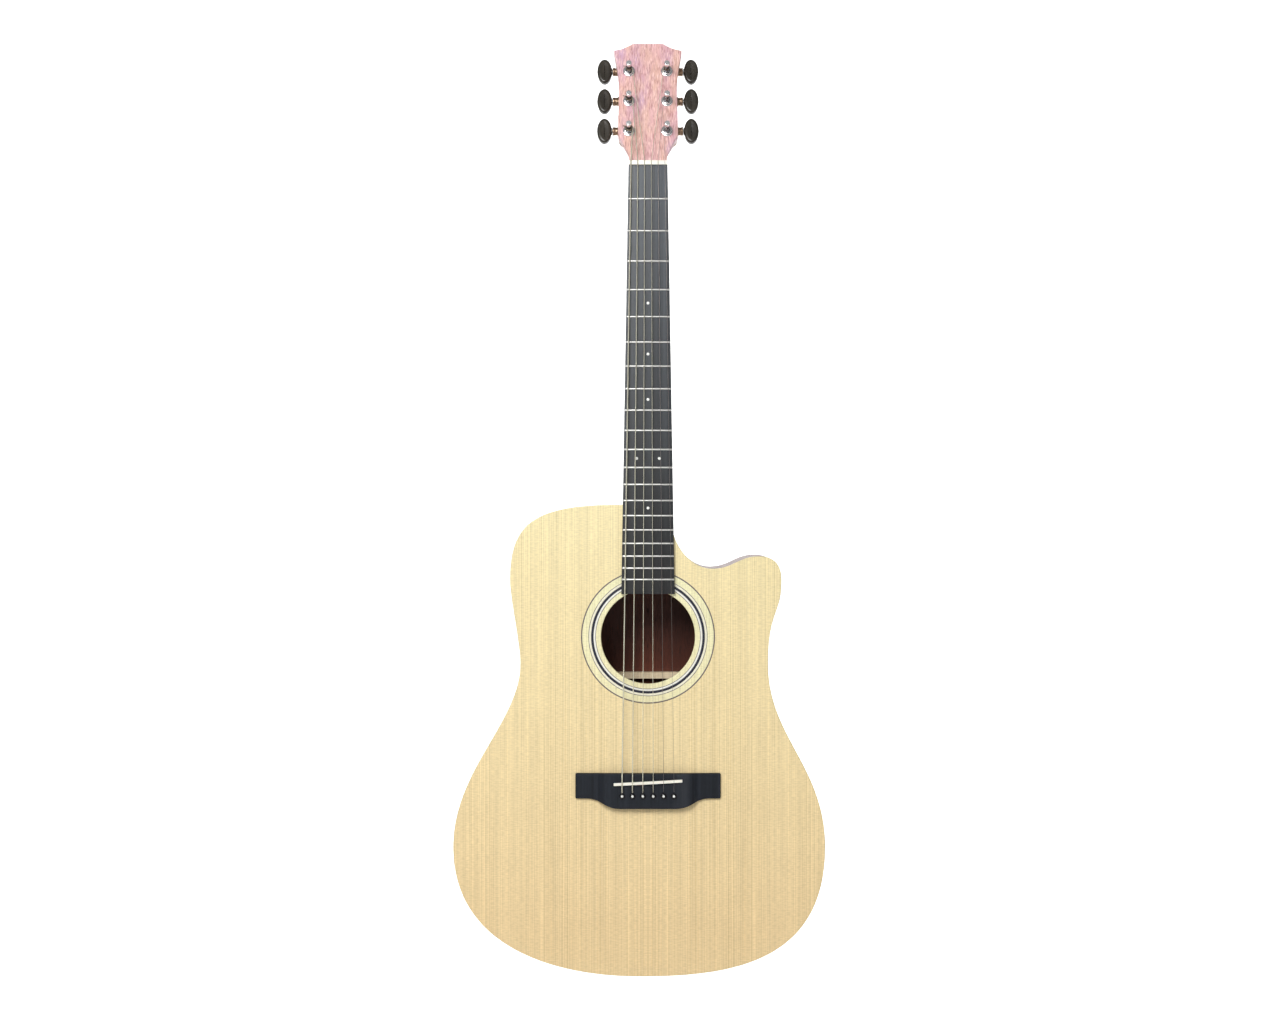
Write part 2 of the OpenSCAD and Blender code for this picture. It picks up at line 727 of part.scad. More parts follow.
// Direction of a path at point k, halfway between the stretches that meet there
function heading(p, k) = unit((k > 0 ? unit(p[k] - p[k - 1]) : [0, 0, 0])
    + (k < len(p) - 1 ? unit(p[k + 1] - p[k]) : [0, 0, 0]));
module tube(p, r, sides) {
    last = len(p) - 1;
    rings = [for (k = [0 : last]) let (d = heading(p, k), u = unit(cross(d, [1, 0, 0])), v = cross(d, u))
        for (j = [0 : sides - 1]) p[k] + r * (cos(j * 360 / sides) * u + sin(j * 360 / sides) * v)];
    walls = [for (k = [0 : last - 1], j = [0 : sides - 1]) let (a = k * sides, b = (j + 1) % sides)
        [a + j, a + b, a + sides + b, a + sides + j]];
    polyhedron(rings, concat(walls, [[for (j = [sides - 1 : -1 : 0]) j]],
        [[for (j = [0 : sides - 1]) last * sides + j]]));
}
module guitar_string(i) {
    color(i < 4 ? [0.72, 0.6, 0.38] : [0.8, 0.8, 0.8]) tube(string_points(i), gauge_r(i), 10);
}

module end_pin() {
    color([0.12, 0.12, 0.13]) rotate_extrude()
        polygon([[0, -2.6], [5.9, -2.6], [6.5, -2], [6.5, 2], [5.5, 3], [3.6, 4.2], [3.6, 5.6],
            [5.6, 7.4], [5.6, tail_z], [4, tail_z], [4, tail_z + 18], [0, tail_z + 18]]);
}

soundboard();
back_plate();
side_bass();
side_treble();
neck_block();
tail_block();
lining_top();
lining_back();
x_braces();
tone_bars();
upper_brace();
bridge_plate();
back_braces();
back_strip();
bridge();
saddle();
bridge_pins();
pin_dots();
ball_ends();
rosette_dark();
rosette_white();
fretboard();
frets();
fret_markers();
nut();
neck_shaft();
headstock();
neck_heel();
heel_cap();
truss_rod();
end_pin();
tuner_housings();
tuner_covers();
tuner_bushings();
tuner_washers();
tuner_screws();
for (i = [0 : 5]) {
    tuner_button(i);
    tuner_worm(i);
    tuner_post(i);
    guitar_string(i);
}
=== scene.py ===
"""Looks of the cutaway acoustic guitar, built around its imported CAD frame.

Everything is in metres in the part's own frame: +Z up the neck, the soundboard faces -Y,
+X is the treble side. Sizes are read from the frame's nodes wherever a node states them.
"""

import json
import math

import bmesh
import bpy
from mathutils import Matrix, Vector


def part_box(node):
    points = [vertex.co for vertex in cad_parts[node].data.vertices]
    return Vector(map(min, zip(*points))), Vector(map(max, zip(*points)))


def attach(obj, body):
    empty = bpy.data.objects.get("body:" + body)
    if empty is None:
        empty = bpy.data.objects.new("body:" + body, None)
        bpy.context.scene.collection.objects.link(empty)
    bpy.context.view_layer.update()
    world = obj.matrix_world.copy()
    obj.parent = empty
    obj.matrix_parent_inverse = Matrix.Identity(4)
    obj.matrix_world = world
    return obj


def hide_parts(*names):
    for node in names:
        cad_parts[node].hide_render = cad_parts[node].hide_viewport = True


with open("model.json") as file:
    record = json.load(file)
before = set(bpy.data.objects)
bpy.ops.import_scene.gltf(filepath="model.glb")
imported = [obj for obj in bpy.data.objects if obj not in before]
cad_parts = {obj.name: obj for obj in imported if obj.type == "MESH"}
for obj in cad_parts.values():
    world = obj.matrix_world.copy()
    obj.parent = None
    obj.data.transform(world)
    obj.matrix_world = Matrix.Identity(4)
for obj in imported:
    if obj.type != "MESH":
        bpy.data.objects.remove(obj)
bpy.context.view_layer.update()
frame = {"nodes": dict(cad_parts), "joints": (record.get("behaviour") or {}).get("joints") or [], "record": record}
NODES = frame["nodes"]
JOINTS = {joint["name"]: joint for joint in frame["joints"]}

MM = 0.001
X_AXIS, Z_AXIS = Vector((1, 0, 0)), Vector((0, 0, 1))
STRINGS = ["low_e", "a", "d", "g", "b", "high_e"]
WOUND = STRINGS[:4]
ROOT = "guitar"
SLOT_OF = {s["node"]: s["material_slot"] for s in frame["record"]["subparts"]}


# -------------------- places read from the frame

board_low, board_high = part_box("soundboard")
FRONT_Y, INNER_Y = board_low.y, board_high.y
BODY_TOP = board_high.z
nut_low, nut_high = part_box("nut")
NUT_Z, HEAD_Z = nut_low.z, nut_high.z
pins_low, pins_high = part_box("bridge_pins")
PIN_ROW_Z = (pins_low.z + pins_high.z) / 2
HEEL_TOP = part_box("neck_heel")[1].z
HOLE_Z = 370 * MM  # the soundhole's centre
HEAD_AXIS = Vector(JOINTS["peg_low_e_turn"]["axis"]).normalized()  # out of the headstock's face
HEAD_UP = Vector((0, HEAD_AXIS.z, -HEAD_AXIS.y))  # along the face, to the crown


def head_point(x, along, out):
    """A point given in the headstock's own frame: sideways, towards the crown, out of the face."""
    peg = Vector(JOINTS["peg_low_e_turn"]["pos_m"])
    face = Vector((0, peg.y, peg.z)) - HEAD_UP * ((peg.z - HEAD_Z) / HEAD_UP.z)
    return face + Vector((x, 0, 0)) + HEAD_UP * along + HEAD_AXIS * out


# -------------------- material graphs

MATERIALS = {}


class Graph:
    """A new node material, listed in MATERIALS, with short ways to add to its node tree."""

    def __init__(self, name):
        material = MATERIALS[name] = bpy.data.materials.new(name)
        material.use_nodes = True
        self.tree = material.node_tree
        self.shader = self.tree.nodes["Principled BSDF"]

    def put(self, socket, value):
        """Sets a socket to a number or a colour, or links another node's output to it."""
        if isinstance(value, bpy.types.NodeSocket):
            self.tree.links.new(value, socket)
        elif isinstance(value, tuple) and socket.type == "RGBA":
            socket.default_value = (*value, 1.0)
        else:
            socket.default_value = value

    def add(self, kind, inputs, **settings):
        """Adds a node; inputs maps a socket's name or number to what goes into it."""
        made = self.tree.nodes.new("ShaderNode" + kind)
        for key, value in settings.items():
            setattr(made, key, value)
        for key, value in inputs.items():
            self.put(made.inputs[key], value)
        return made

    def wire(self, **sockets):
        """Fills the shader's own sockets."""
        for key, value in sockets.items():
            self.put(self.shader.inputs[key.replace("_", " ")], value)

    def bump(self, height, distance, strength):
        made = self.add("Bump", {"Height": height, "Distance": distance, "Strength": strength})
        self.wire(Normal=made.outputs[0])

    def maths(self, operation, a, b=0.0):
        return self.add("Math", {0: a, 1: b}, operation=operation).outputs[0]

    def times(self, a, b):
        return self.maths("MULTIPLY", a, b)

    def place(self, kind="Object"):
        return self.add("TexCoord", {}).outputs[kind]

    def split(self, vector):
        return self.add("SeparateXYZ", {0: vector}).outputs

    def scaled(self, scale=(1, 1, 1), mirror_x=False):
        """Object coordinates times scale; with mirror_x the left half mirrors the right, as in
        bookmatched wood."""
        place = self.place()
        if mirror_x:
            x, y, z = self.split(place)
            width = self.maths("ABSOLUTE", x)
            place = self.add("CombineXYZ", {0: width, 1: y, 2: z}).outputs[0]
        return self.add("Mapping", {"Vector": place, "Scale": scale}).outputs[0]

    def noise(self, vector, scale=1.0, detail=3.0, roughness=0.5, distortion=0.0):
        return self.add("TexNoise", {"Vector": vector, "Scale": scale, "Detail": detail,
                        "Roughness": roughness, "Distortion": distortion}).outputs["Fac"]

    def ramp(self, factor, stops, interpolation="LINEAR"):
        """A colour ramp; stops is a list of (position, (r, g, b)) or (position, grey)."""
        made = self.add("ValToRGB", {0: factor})
        made.color_ramp.interpolation = interpolation
        points = made.color_ramp.elements
        for index, (place, colour) in enumerate(stops):
            point = points[index] if index < 2 else points.new(place)
            point.position = place
            rgb = colour if isinstance(colour, tuple) else (colour,) * 3
            point.color = (*rgb, 1.0)
        return made.outputs[0]

    def span_of(self, value, from_low, from_high, to_low, to_high):
        """A value carried from one range to another, and held at the new range's ends."""
        sockets = {0: value, 1: from_low, 2: from_high, 3: to_low, 4: to_high}
        return self.add("MapRange", sockets).outputs[0]

    def mix(self, factor, a, b, blend="MIX"):
        sockets = {0: factor, 6: a, 7: b}
        return self.add("Mix", sockets, data_type="RGBA", blend_type=blend).outputs[2]

    def tint(self, colour, by):
        """One colour multiplied by another."""
        return self.mix(1.0, colour, by, "MULTIPLY")


# -------------------- materials

def spruce(name, low, high, line=0.72, mirror_x=True, shaded_z=0.0, lit_z=0.001, band=None):
    """Quartersawn spruce: year lines along Z, wide at the middle and close at the edges, under fine
    fibres and cross silk. The colour runs from low at height shaded_z to high at lit_z, a painted
    light gradient that makes the upper part lighter and cooler. line is how dark the year lines are.
    band gives the height of the soundhole's centre and the radius of the paler band let in round it."""
    g = Graph(name)

    def bands(across, along, detail=2.0, rough=0.55):
        return g.noise(g.scaled((across, 1, along), mirror_x), 1.0, detail, rough)

    def shade(factor, spread, span=0.16):
        return g.ramp(factor, [(0.5 - span, 1 - spread), (0.5 + span, 1 + spread)])

    width, _, height = g.split(g.scaled(mirror_x=mirror_x))
    # Painted light: the colour pales from low at shaded_z to high at lit_z, lighter and cooler towards the top.
    colour = g.mix(g.span_of(height, shaded_z, lit_z, 0.0, 1.0), low, high)
    if band:
        hole_z, radius = band
        flat = g.add("CombineXYZ", {0: width, 2: height}).outputs[0]
        away = g.add("VectorMath", {0: flat, 1: (0, 0, hole_z)}, operation="DISTANCE")
        inside = g.span_of(away.outputs[1], radius, radius + 0.1 * MM, 1.0, 0.0)
        colour = g.mix(inside, colour, g.tint(colour, (1.0, 1.13, 1.24)))

    # Lines to the metre at the middle, and how many more for each metre outwards
    middle_lines, more_lines = 310.0, 490.0
    phase = g.times(width, g.maths("ADD", g.times(width, more_lines), middle_lines))
    phase = g.maths("ADD", phase, g.times(bands(34, 0.8), 3.0))
    lines = g.ramp(g.maths("FRACT", phase),
                   [(0.0, 0.8), (0.1, 0.0), (0.5, 0.0), (0.88, 0.85), (1.0, 0.8)])
    strong = g.ramp(bands(17, 0.9), [(0.36, 0.12), (0.6, 1.0)])
    broken = g.ramp(bands(260, 1.6), [(0.36, 0.25), (0.62, 1.0)])
    lines = g.tint(lines, g.tint(strong, broken))
    deep = g.tint(colour, (0.74, 0.68, 0.57))
    colour = g.mix(g.times(lines, line), colour, deep)

    fine = bands(900, 5.0)
    silk, clouds = bands(190, 850, 2.0), bands(30, 24, 3.0)
    for factor, spread in ((fine, 0.07), (bands(420, 1.4), 0.05), (bands(75, 0.7), 0.022),
                           (silk, 0.08), (clouds, 0.02)):
        colour = g.tint(colour, shade(factor, spread))
    g.wire(Base_Color=colour, Roughness=g.ramp(fine, [(0.2, 0.40), (0.8, 0.52)]),
           Specular_IOR_Level=0.45, Coat_Weight=0.1, Coat_Roughness=0.35)
    g.bump(g.maths("ADD", lines, fine), 0.03 * MM, 0.5)


def rosy_wood(name, pink, lavender, orange, fleck):
    """Pale pinkish wood: soft lavender and orange clouds under short, slightly leaning dark flecks."""
    g = Graph(name)
    place = g.place()

    def cloud(across, along, lean, detail=2.0, rough=0.5):
        turned = g.add("Mapping", {"Vector": place, "Rotation": (0, math.radians(lean), 0),
                       "Scale": (across, across * 0.3, along)}).outputs[0]
        return g.noise(turned, 1.0, detail, rough)

    colour = g.mix(g.ramp(cloud(60, 15, 4), [(0.46, 0.0), (0.66, 1.0)]), pink, lavender)
    colour = g.mix(g.ramp(cloud(90, 26, -5, 3.0), [(0.44, 0.0), (0.62, 0.85)]), colour, orange)
    ribbon = cloud(70, 3, 2, 3.0)
    colour = g.tint(colour, g.ramp(ribbon, [(0.3, 0.92), (0.7, 1.06)]))
    flecks = cloud(800, 95, 6, 3.0, 0.6)
    colour = g.mix(g.ramp(flecks, [(0.46, 0.0), (0.66, 0.85)]), colour, fleck)
    bright = cloud(700, 120, -4, 3.0, 0.6)
    colour = g.mix(g.ramp(bright, [(0.5, 0.0), (0.66, 0.75)]), colour, (0.84, 0.58, 0.54))
    g.wire(Base_Color=colour, Roughness=g.ramp(flecks, [(0.3, 0.4), (0.7, 0.55)]),
           Coat_Weight=0.1, Coat_Roughness=0.3)
    g.bump(g.times(flecks, -1.0), 0.05 * MM, 0.5)


def ribbon_wood(name, light, dark, pore, mirror_x=False, use_uv=False, ribbon=28.0):
    """Mahogany-like wood: ribbon stripes, long darker streaks and short open pores along the grain.
    ribbon is the stripes to the metre. The grain runs along Z, or along U where use_uv is set."""
    g = Graph(name)

    def space(across, along):
        if use_uv:
            return g.add("Mapping", {"Vector": g.place("UV"), "Scale": (along, across, 1)}).outputs[0]
        return g.scaled((across, across, along), mirror_x)

    stripes = g.noise(space(ribbon, 0.7), 1.0, 2.0, 0.5, 0.4)
    streaks = g.noise(space(ribbon * 7, 3.0), 1.0, 4.0, 0.65, 0.3)
    colour = g.mix(g.ramp(stripes, [(0.32, 0.0), (0.66, 1.0)]), dark, light)
    colour = g.tint(colour, g.ramp(streaks, [(0.3, 0.82), (0.7, 1.1)]))
    cells = g.noise(space(1500, 55), 1.0, 2.0, 0.6)
    holes = g.ramp(cells, [(0.56, 0.0), (0.66, 1.0)])
    colour = g.mix(g.times(holes, 0.75), colour, pore)
    curl = g.noise(space(14, 60), 1.0, 2.0)
    colour = g.tint(colour, g.ramp(curl, [(0.3, 0.96), (0.7, 1.04)]))
    g.wire(Base_Color=colour, Roughness=g.ramp(holes, [(0.0, 0.38), (1.0, 0.63)]),
           Specular_IOR_Level=0.36, Coat_Weight=0.04, Coat_Roughness=0.28)
    g.bump(g.times(holes, -1.0), 0.06 * MM, 0.6)


def dark_wood(name, light, dark, streak, gloss=0.42, reach=2.6, shine=0.5, sheen_z=None):
    """Ebony-like wood: near black with faint lighter streaks and tiny pores along Z. reach is the
    streaks to the metre. Below the height sheen_z the wood is at its darkest, and it pales over
    the next 400 mm: a painted sheen, lighter towards the nut and darker towards the body."""
    g = Graph(name)
    streaks = g.noise(g.scaled((240, 240, reach)), 1.0, 4.0, 0.62)
    colour = g.mix(g.ramp(streaks, [(0.35, 0.0), (0.75, 1.0)]), dark, light)
    rare = g.noise(g.scaled((90, 90, 1.2)), 1.0, 2.0)
    colour = g.mix(g.ramp(rare, [(0.6, 0.0), (0.74, 0.6)]), colour, streak)
    if sheen_z is not None:
        # Painted sheen: the colour is multiplied from 0.1 at sheen_z up to 1.12 over the next 400 mm.
        height = g.split(g.scaled())[2]
        colour = g.tint(colour, g.span_of(height, sheen_z, sheen_z + 400 * MM, 0.1, 1.12))
    cells = g.noise(g.scaled((2200, 2200, 90)), 1.0, 2.0, 0.6)
    holes = g.ramp(cells, [(0.58, 0.0), (0.68, 1.0)])
    colour = g.mix(g.times(holes, 0.5), colour, (0.006, 0.006, 0.007))
    g.wire(Base_Color=colour, Specular_IOR_Level=shine,
           Roughness=g.ramp(streaks, [(0.2, gloss), (0.8, gloss + 0.14)]))
    g.bump(g.times(holes, -1.0), 0.05 * MM, 0.6)


def metal(name, colour, roughness, wear=0.08, tint=None, brushed=None):
    """Polished or antiqued metal: faint smudges in the roughness, tint in the dull patches."""
    g = Graph(name)
    smudge = g.noise(g.scaled(), 420.0, 4.0, 0.6)
    body = g.ramp(smudge, [(0.35, tint or colour), (0.65, colour)])
    g.wire(Base_Color=body, Metallic=1.0,
           Roughness=g.ramp(smudge, [(0.3, roughness + wear), (0.7, roughness)]))
    grit = g.noise(g.scaled(brushed or (1, 1, 1)), 1.0 if brushed else 3800.0, 2.0)
    g.bump(grit, 0.01 * MM, 0.35)


def moulded(name, colour, roughness, speckle=0.06, fibre=None, subsurface=0.0):
    """Bone, pearl, celluloid or plastic: a close-toned body with faint mottling and fine scratches."""
    g = Graph(name)
    cloud = g.noise(g.scaled(fibre or (1, 1, 1)), 1.0 if fibre else 260.0, 4.0, 0.6)
    deep = tuple(c * (1 - 2.5 * speckle) for c in colour)
    pale = tuple(min(c * (1 + speckle), 1.0) for c in colour)
    fine = g.noise(g.scaled(), 2600.0, 2.0)
    g.wire(Base_Color=g.ramp(cloud, [(0.3, deep), (0.7, pale)]),
           Roughness=g.ramp(fine, [(0.3, roughness), (0.7, roughness + 0.1)]),
           Subsurface_Weight=subsurface, Subsurface_Scale=1.5 * MM)
    g.bump(fine, 0.008 * MM, 0.4)


def wound_wire(name, colour, groove, pitch):
    """A wound string: fine close turns of wire across its length, which runs along Z."""
    g = Graph(name)
    turn = g.maths("FRACT", g.maths("DIVIDE", g.split(g.scaled())[2], pitch))
    crown = g.ramp(turn, [(0.0, 0.0), (0.5, 1.0), (1.0, 0.0)], "EASE")
    g.wire(Base_Color=g.mix(crown, groove, colour), Metallic=0.85, Roughness=0.38)
    g.bump(crown, 0.12 * MM, 0.8)


def post_metal_painted_light(name):
    """Chrome post: a near-white tip as a painted highlight over a near-black waist as painted shade and
    dark reflection, the waist a little rougher, placed by the height over the headstock's face in parts of 25 mm."""
    g = Graph(name)
    place = g.scaled()
    face = head_point(0, 0, 0).dot(HEAD_AXIS)
    out = g.add("VectorMath", {0: place, 1: tuple(HEAD_AXIS)}, operation="DOT_PRODUCT")
    out = g.times(g.maths("SUBTRACT", out.outputs[1], face), 1 / (25 * MM))
    smudge = g.noise(place, 900.0, 3.0, 0.6)
    out = g.maths("ADD", out, g.times(smudge, 0.04))
    # Painted light: near-white tip as painted highlight, near-black waist as painted shade and dark reflection;
    # the smudge noise only wobbles the bands' edges.
    colour = g.ramp(out, [(0.18, (0.6, 0.61, 0.63)), (0.26, (0.10, 0.10, 0.11)),
                          (0.66, (0.08, 0.08, 0.09)), (0.74, (0.95, 0.95, 0.96))])
    g.wire(Base_Color=colour, Metallic=1.0,
           Roughness=g.ramp(out, [(0.2, 0.12), (0.3, 0.26), (0.66, 0.24), (0.75, 0.2)]))
    g.bump(g.noise(place, 3800.0, 2.0), 0.01 * MM, 0.35)


# The soundboard's colour is painted lighter and cooler towards its top, as painted light and sheen.
spruce("spruce_top", (0.74, 0.562, 0.303), (0.79, 0.68, 0.388), shaded_z=0.06, lit_z=0.5,
       band=(HOLE_Z, 70 * MM))
spruce("brace_spruce", (0.94, 0.77, 0.53), (0.94, 0.77, 0.53), mirror_x=False)
RED_BROWNS = (0.175, 0.05, 0.027), (0.083, 0.024, 0.015), (0.04, 0.015, 0.01)
ribbon_wood("mahogany", *RED_BROWNS, mirror_x=True)
ribbon_wood("mahogany_bent", *RED_BROWNS, use_uv=True)
ribbon_wood("neck_wood", (0.50, 0.27, 0.2), (0.39, 0.195, 0.14), (0.2, 0.09, 0.06), ribbon=22.0)
rosy_wood("headstock_wood", (0.67, 0.38, 0.385), (0.56, 0.34, 0.45), (0.69, 0.425, 0.335),
          (0.38, 0.17, 0.16))
ribbon_wood("block_wood", (0.5, 0.3, 0.18), (0.4, 0.22, 0.13), (0.2, 0.1, 0.06))
ribbon_wood("lining_wood", (0.5, 0.3, 0.18), (0.42, 0.24, 0.14), (0.22, 0.12, 0.07))
spruce("maple", (0.72, 0.53, 0.32), (0.72, 0.53, 0.32), line=0.1, mirror_x=False)
dark_wood("heel_cap_wood", (0.09, 0.045, 0.03), (0.03, 0.018, 0.014), (0.12, 0.06, 0.04))
dark_wood("ebony_bridge", (0.017, 0.021, 0.029), (0.007, 0.009, 0.013), (0.03, 0.033, 0.04),
          gloss=0.5, shine=0.22)
# The fretboard's colour is painted darker towards the body and paler towards the nut, as painted sheen.
dark_wood("fretboard_wood", (0.044, 0.058, 0.074), (0.006, 0.008, 0.012), (0.10, 0.115, 0.13),
          gloss=0.34, reach=1.6, shine=0.6, sheen_z=0.45)
moulded("bone", (0.86, 0.84, 0.74), 0.25, 0.04, fibre=(60, 60, 60), subsurface=0.1)
moulded("pearl", (0.85, 0.86, 0.82), 0.15, 0.08)
moulded("pin_black", (0.003, 0.003, 0.004), 0.16, 0.1)
moulded("button_dark", (0.031, 0.026, 0.019), 0.2, 0.2, fibre=(90, 90, 30))
moulded("inlay_black", (0.006, 0.007, 0.022), 0.5, 0.1)
moulded("inlay_grey", (0.12, 0.10, 0.105), 0.5, 0.12)
moulded("inlay_cream", (0.78, 0.74, 0.58), 0.45, 0.05)
moulded("inlay_white", (0.78, 0.77, 0.70), 0.45, 0.05)
metal("fret_wire", (0.78, 0.77, 0.74), 0.3, brushed=(40, 3000, 3000))
metal("chrome", (0.80, 0.81, 0.82), 0.12, 0.05)
post_metal_painted_light("chrome_post_painted_light")
metal("steel", (0.55, 0.55, 0.57), 0.3)
metal("brass", (0.75, 0.57, 0.28), 0.25)
metal("bronze_metal", (0.34, 0.235, 0.16), 0.3, 0.14, tint=(0.17, 0.11, 0.07))
wound_wire("wound_string", (0.94, 0.92, 0.78), (0.42, 0.40, 0.29), 0.4 * MM)
# The coils on the posts: the wound wire in darker colours, as painted shade.
wound_wire("wound_coil_painted_shade", (0.34, 0.29, 0.21), (0.10, 0.08, 0.05), 0.4 * MM)
# Plain steel, darkened throughout so that its coils on the posts carry painted shade.
metal("plain_string", (0.30, 0.265, 0.25), 0.3)


# -------------------- mesh helpers

def new_object(name, data):
    made = bpy.data.objects.new(name, data)
    bpy.context.scene.collection.objects.link(made)
    return made


def smooth_mesh(name, bm, material):
    mesh = bpy.data.meshes.new(name)
    bm.to_mesh(mesh)
    bm.free()
    mesh.polygons.foreach_set("use_smooth", [True] * len(mesh.polygons))
    mesh.materials.append(MATERIALS[material])
    return mesh


def piece(name, bm, material, body=ROOT, replaces=(), sharp=32.0, flat=False):
    """Makes an object from a bmesh, shades it smooth up to the sharp angle, and rides it on a body.
    With flat, flat faces keep flat shading beside their rounded edges."""
    bmesh.ops.remove_doubles(bm, verts=bm.verts, dist=1e-7)
    bmesh.ops.recalc_face_normals(bm, faces=bm.faces)
    mesh = smooth_mesh(name, bm, material)
    mesh.set_sharp_from_angle(angle=math.radians(sharp))
    made = new_object(name, mesh)
    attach(made, body)
    if replaces:
        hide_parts(*replaces)
    if flat:
        modifier = made.modifiers.new("weighted_normals", "WEIGHTED_NORMAL")
        modifier.keep_sharp = True
        modifier.weight = 100


def copy_of(node, width, segments=3, name=None, material=None, body=ROOT):
    """A copy of a CAD node with its flat faces joined and its edges rounded by width."""
    bm = bmesh.new()
    bm.from_mesh(NODES[node].data)
    bmesh.ops.remove_doubles(bm, verts=bm.verts, dist=1e-6)
    bmesh.ops.dissolve_limit(bm, angle_limit=math.radians(0.4), verts=bm.verts, edges=bm.edges)
    if width:
        edges = [e for e in bm.edges if e.is_manifold and e.calc_face_angle(0) > math.radians(28)]
        bmesh.ops.bevel(bm, geom=edges, offset=width, segments=segments, profile=0.5,
                        affect="EDGES", clamp_overlap=True)
    slot = SLOT_OF[node]
    piece(name or node + "_piece", bm, material or slot, body, [node], flat=True)


def arc(count, start=0.0, span=90.0):
    """The cosine and sine of count + 1 angles in degrees, evenly spaced over span from start."""
    angles = [math.radians(start + span * k / count) for k in range(count + 1)]
    return [(math.cos(a), math.sin(a)) for a in angles]


def around(sides):
    return arc(sides, 0, 360)[:-1]


def rounding(radius, steps):
    """The section of a rounded edge, from one face to the other, as (inset, drop) pairs: how far
    in from the second face and how far below the first."""
    return [(radius * (1 - s), radius * (1 - c)) for c, s in arc(steps)]


def tube(bm, points, radius, sides=12):
    """Adds a round tube along points, with closed ends."""
    rings = []
    for k, point in enumerate(points):
        before = points[k] - points[k - 1] if k else points[1] - points[0]
        after = points[k + 1] - points[k] if k < len(points) - 1 else before
        ahead = (before.normalized() + after.normalized()).normalized()
        u = ahead.cross(X_AXIS)
        if u.length < 0.1:
            u = ahead.cross(Vector((0, 1, 0)))
        u.normalize()
        v = ahead.cross(u)
        rings.append([bm.verts.new(point + radius * (c * u + s * v)) for c, s in around(sides)])
    join_rings(bm, rings)
    return bm


def join_rings(bm, rings, capped=True):
    """Bridges equal rings of vertices with quads, and caps the first and last."""
    count = len(rings[0])
    for low, high in zip(rings, rings[1:]):
        for j in range(count):
            k = (j + 1) % count
            bm.faces.new((low[j], low[k], high[k], high[j]))
    if capped:
        bm.faces.new(rings[0])
        bm.faces.new(rings[-1])


def loops_on_plane(node, normal, offset, across, along):
    """Closed loops of (across, along) points round a node's flat faces on a plane, longest first."""
    mesh = NODES[node].data
    key = lambda index: tuple(round(c, 6) for c in mesh.vertices[index].co)
    used = {}
    for polygon in mesh.polygons:
        corners = [key(i) for i in polygon.vertices]
        if all(abs(Vector(c).dot(normal) - offset) < 1e-5 for c in corners):
            for a, b in zip(corners, corners[1:] + corners[:1]):
                used[(a, b)] = used.get((a, b), 0) + 1
    rim = {a: b for a, b in used if (b, a) not in used}
    loops = []
    while rim:
        start = next(iter(rim))
        loop, here = [], start
        while here in rim:
            loop.append(here)
            here = rim.pop(here)
        loops.append([Vector((Vector(c).dot(across), Vector(c).dot(along))) for c in loop])
    length = lambda points: sum((points[k] - points[k - 1]).length for k in range(len(points)))
    return sorted(loops, key=length, reverse=True)


def finer(points, parts, corner=25.0):
    """A closed loop through the same points, curved between them except at corners."""
    count = len(points)
    turn = lambda k: math.degrees(abs((points[k] - points[k - 1]).angle_signed(
        points[(k + 1) % count] - points[k], 0)))
    sharp = [turn(k) > corner for k in range(count)]
    made = []
    for k in range(count):
        a, b = points[k], points[(k + 1) % count]
        before = a if sharp[k] else points[k - 1]
        after = b if sharp[(k + 1) % count] else points[(k + 2) % count]
        for j in range(parts):
            t = j / parts
            made.append(0.5 * (2 * a + (b - before) * t + (2 * before - 5 * a + 4 * b - after) * t * t
                               + (3 * a - before - 3 * b + after) * t ** 3))
    return made


def inset_loop(points, amount):
    """A closed loop moved inwards by an equal distance all round, mitred at its corners."""
    area = sum(points[k - 1].cross(points[k]) for k in range(len(points)))
    sign = 1 if area > 0 else -1
    made = []
    for k in range(len(points)):
        a = (points[k] - points[k - 1]).normalized()
        b = (points[(k + 1) % len(points)] - points[k]).normalized()
        n1, n2 = Vector((a.y, -a.x)) * sign, Vector((b.y, -b.x)) * sign
        made.append(points[k] - (n1 + n2) * amount / max(1 + n1.dot(n2), 0.3))
    return made


def fill_between(bm, rings):
    """Fills a flat face bounded by rings of vertices: the first outside, the others as holes."""
    edges = []
    for ring in rings:
        for k in range(len(ring)):
            edge = bm.edges.get((ring[k - 1], ring[k]))
            edges.append(edge or bm.edges.new((ring[k - 1], ring[k])))
    bmesh.ops.triangle_fill(bm, use_beauty=True, use_dissolve=False, edges=edges)


def plate(bm, loops, place, low, high, round_low, round_high, steps=4):
    """A plate with rounded edges. loops: the outline, then any holes. place(point, height) gives the
    3-D point; heights run from low to high, rounded by round_low and round_high."""
    faces_low, faces_high = [], []
    for index, loop in enumerate(loops):
        way = 1 if index == 0 else -1
        levels = [(inset, low + drop) for inset, drop in rounding(round_low, steps)]
        levels += [(drop, high - inset) for inset, drop in rounding(round_high, steps)]
        rings = [[bm.verts.new(place(point, height)) for point in inset_loop(loop, way * inset)]
                 for inset, height in levels]
        join_rings(bm, rings, capped=False)
        faces_low.append(rings[0])
        faces_high.append(rings[-1])
    fill_between(bm, faces_low)
    fill_between(bm, faces_high)
    return bm


def lathe(bm, profile, place, sides):
    """Turns a profile of (radius, height) pairs in millimetres; place(x, y, height) gives the 3-D
    point in metres."""
    rings = [[bm.verts.new(place(r * MM * c, r * MM * s, h * MM)) for c, s in around(sides)]
             for r, h in profile]
    join_rings(bm, rings)
    return bm


def circle(radius, centre=(0, 0), sides=128):
    return [Vector((centre[0] + radius * c, centre[1] + radius * s)) for c, s in around(sides)]


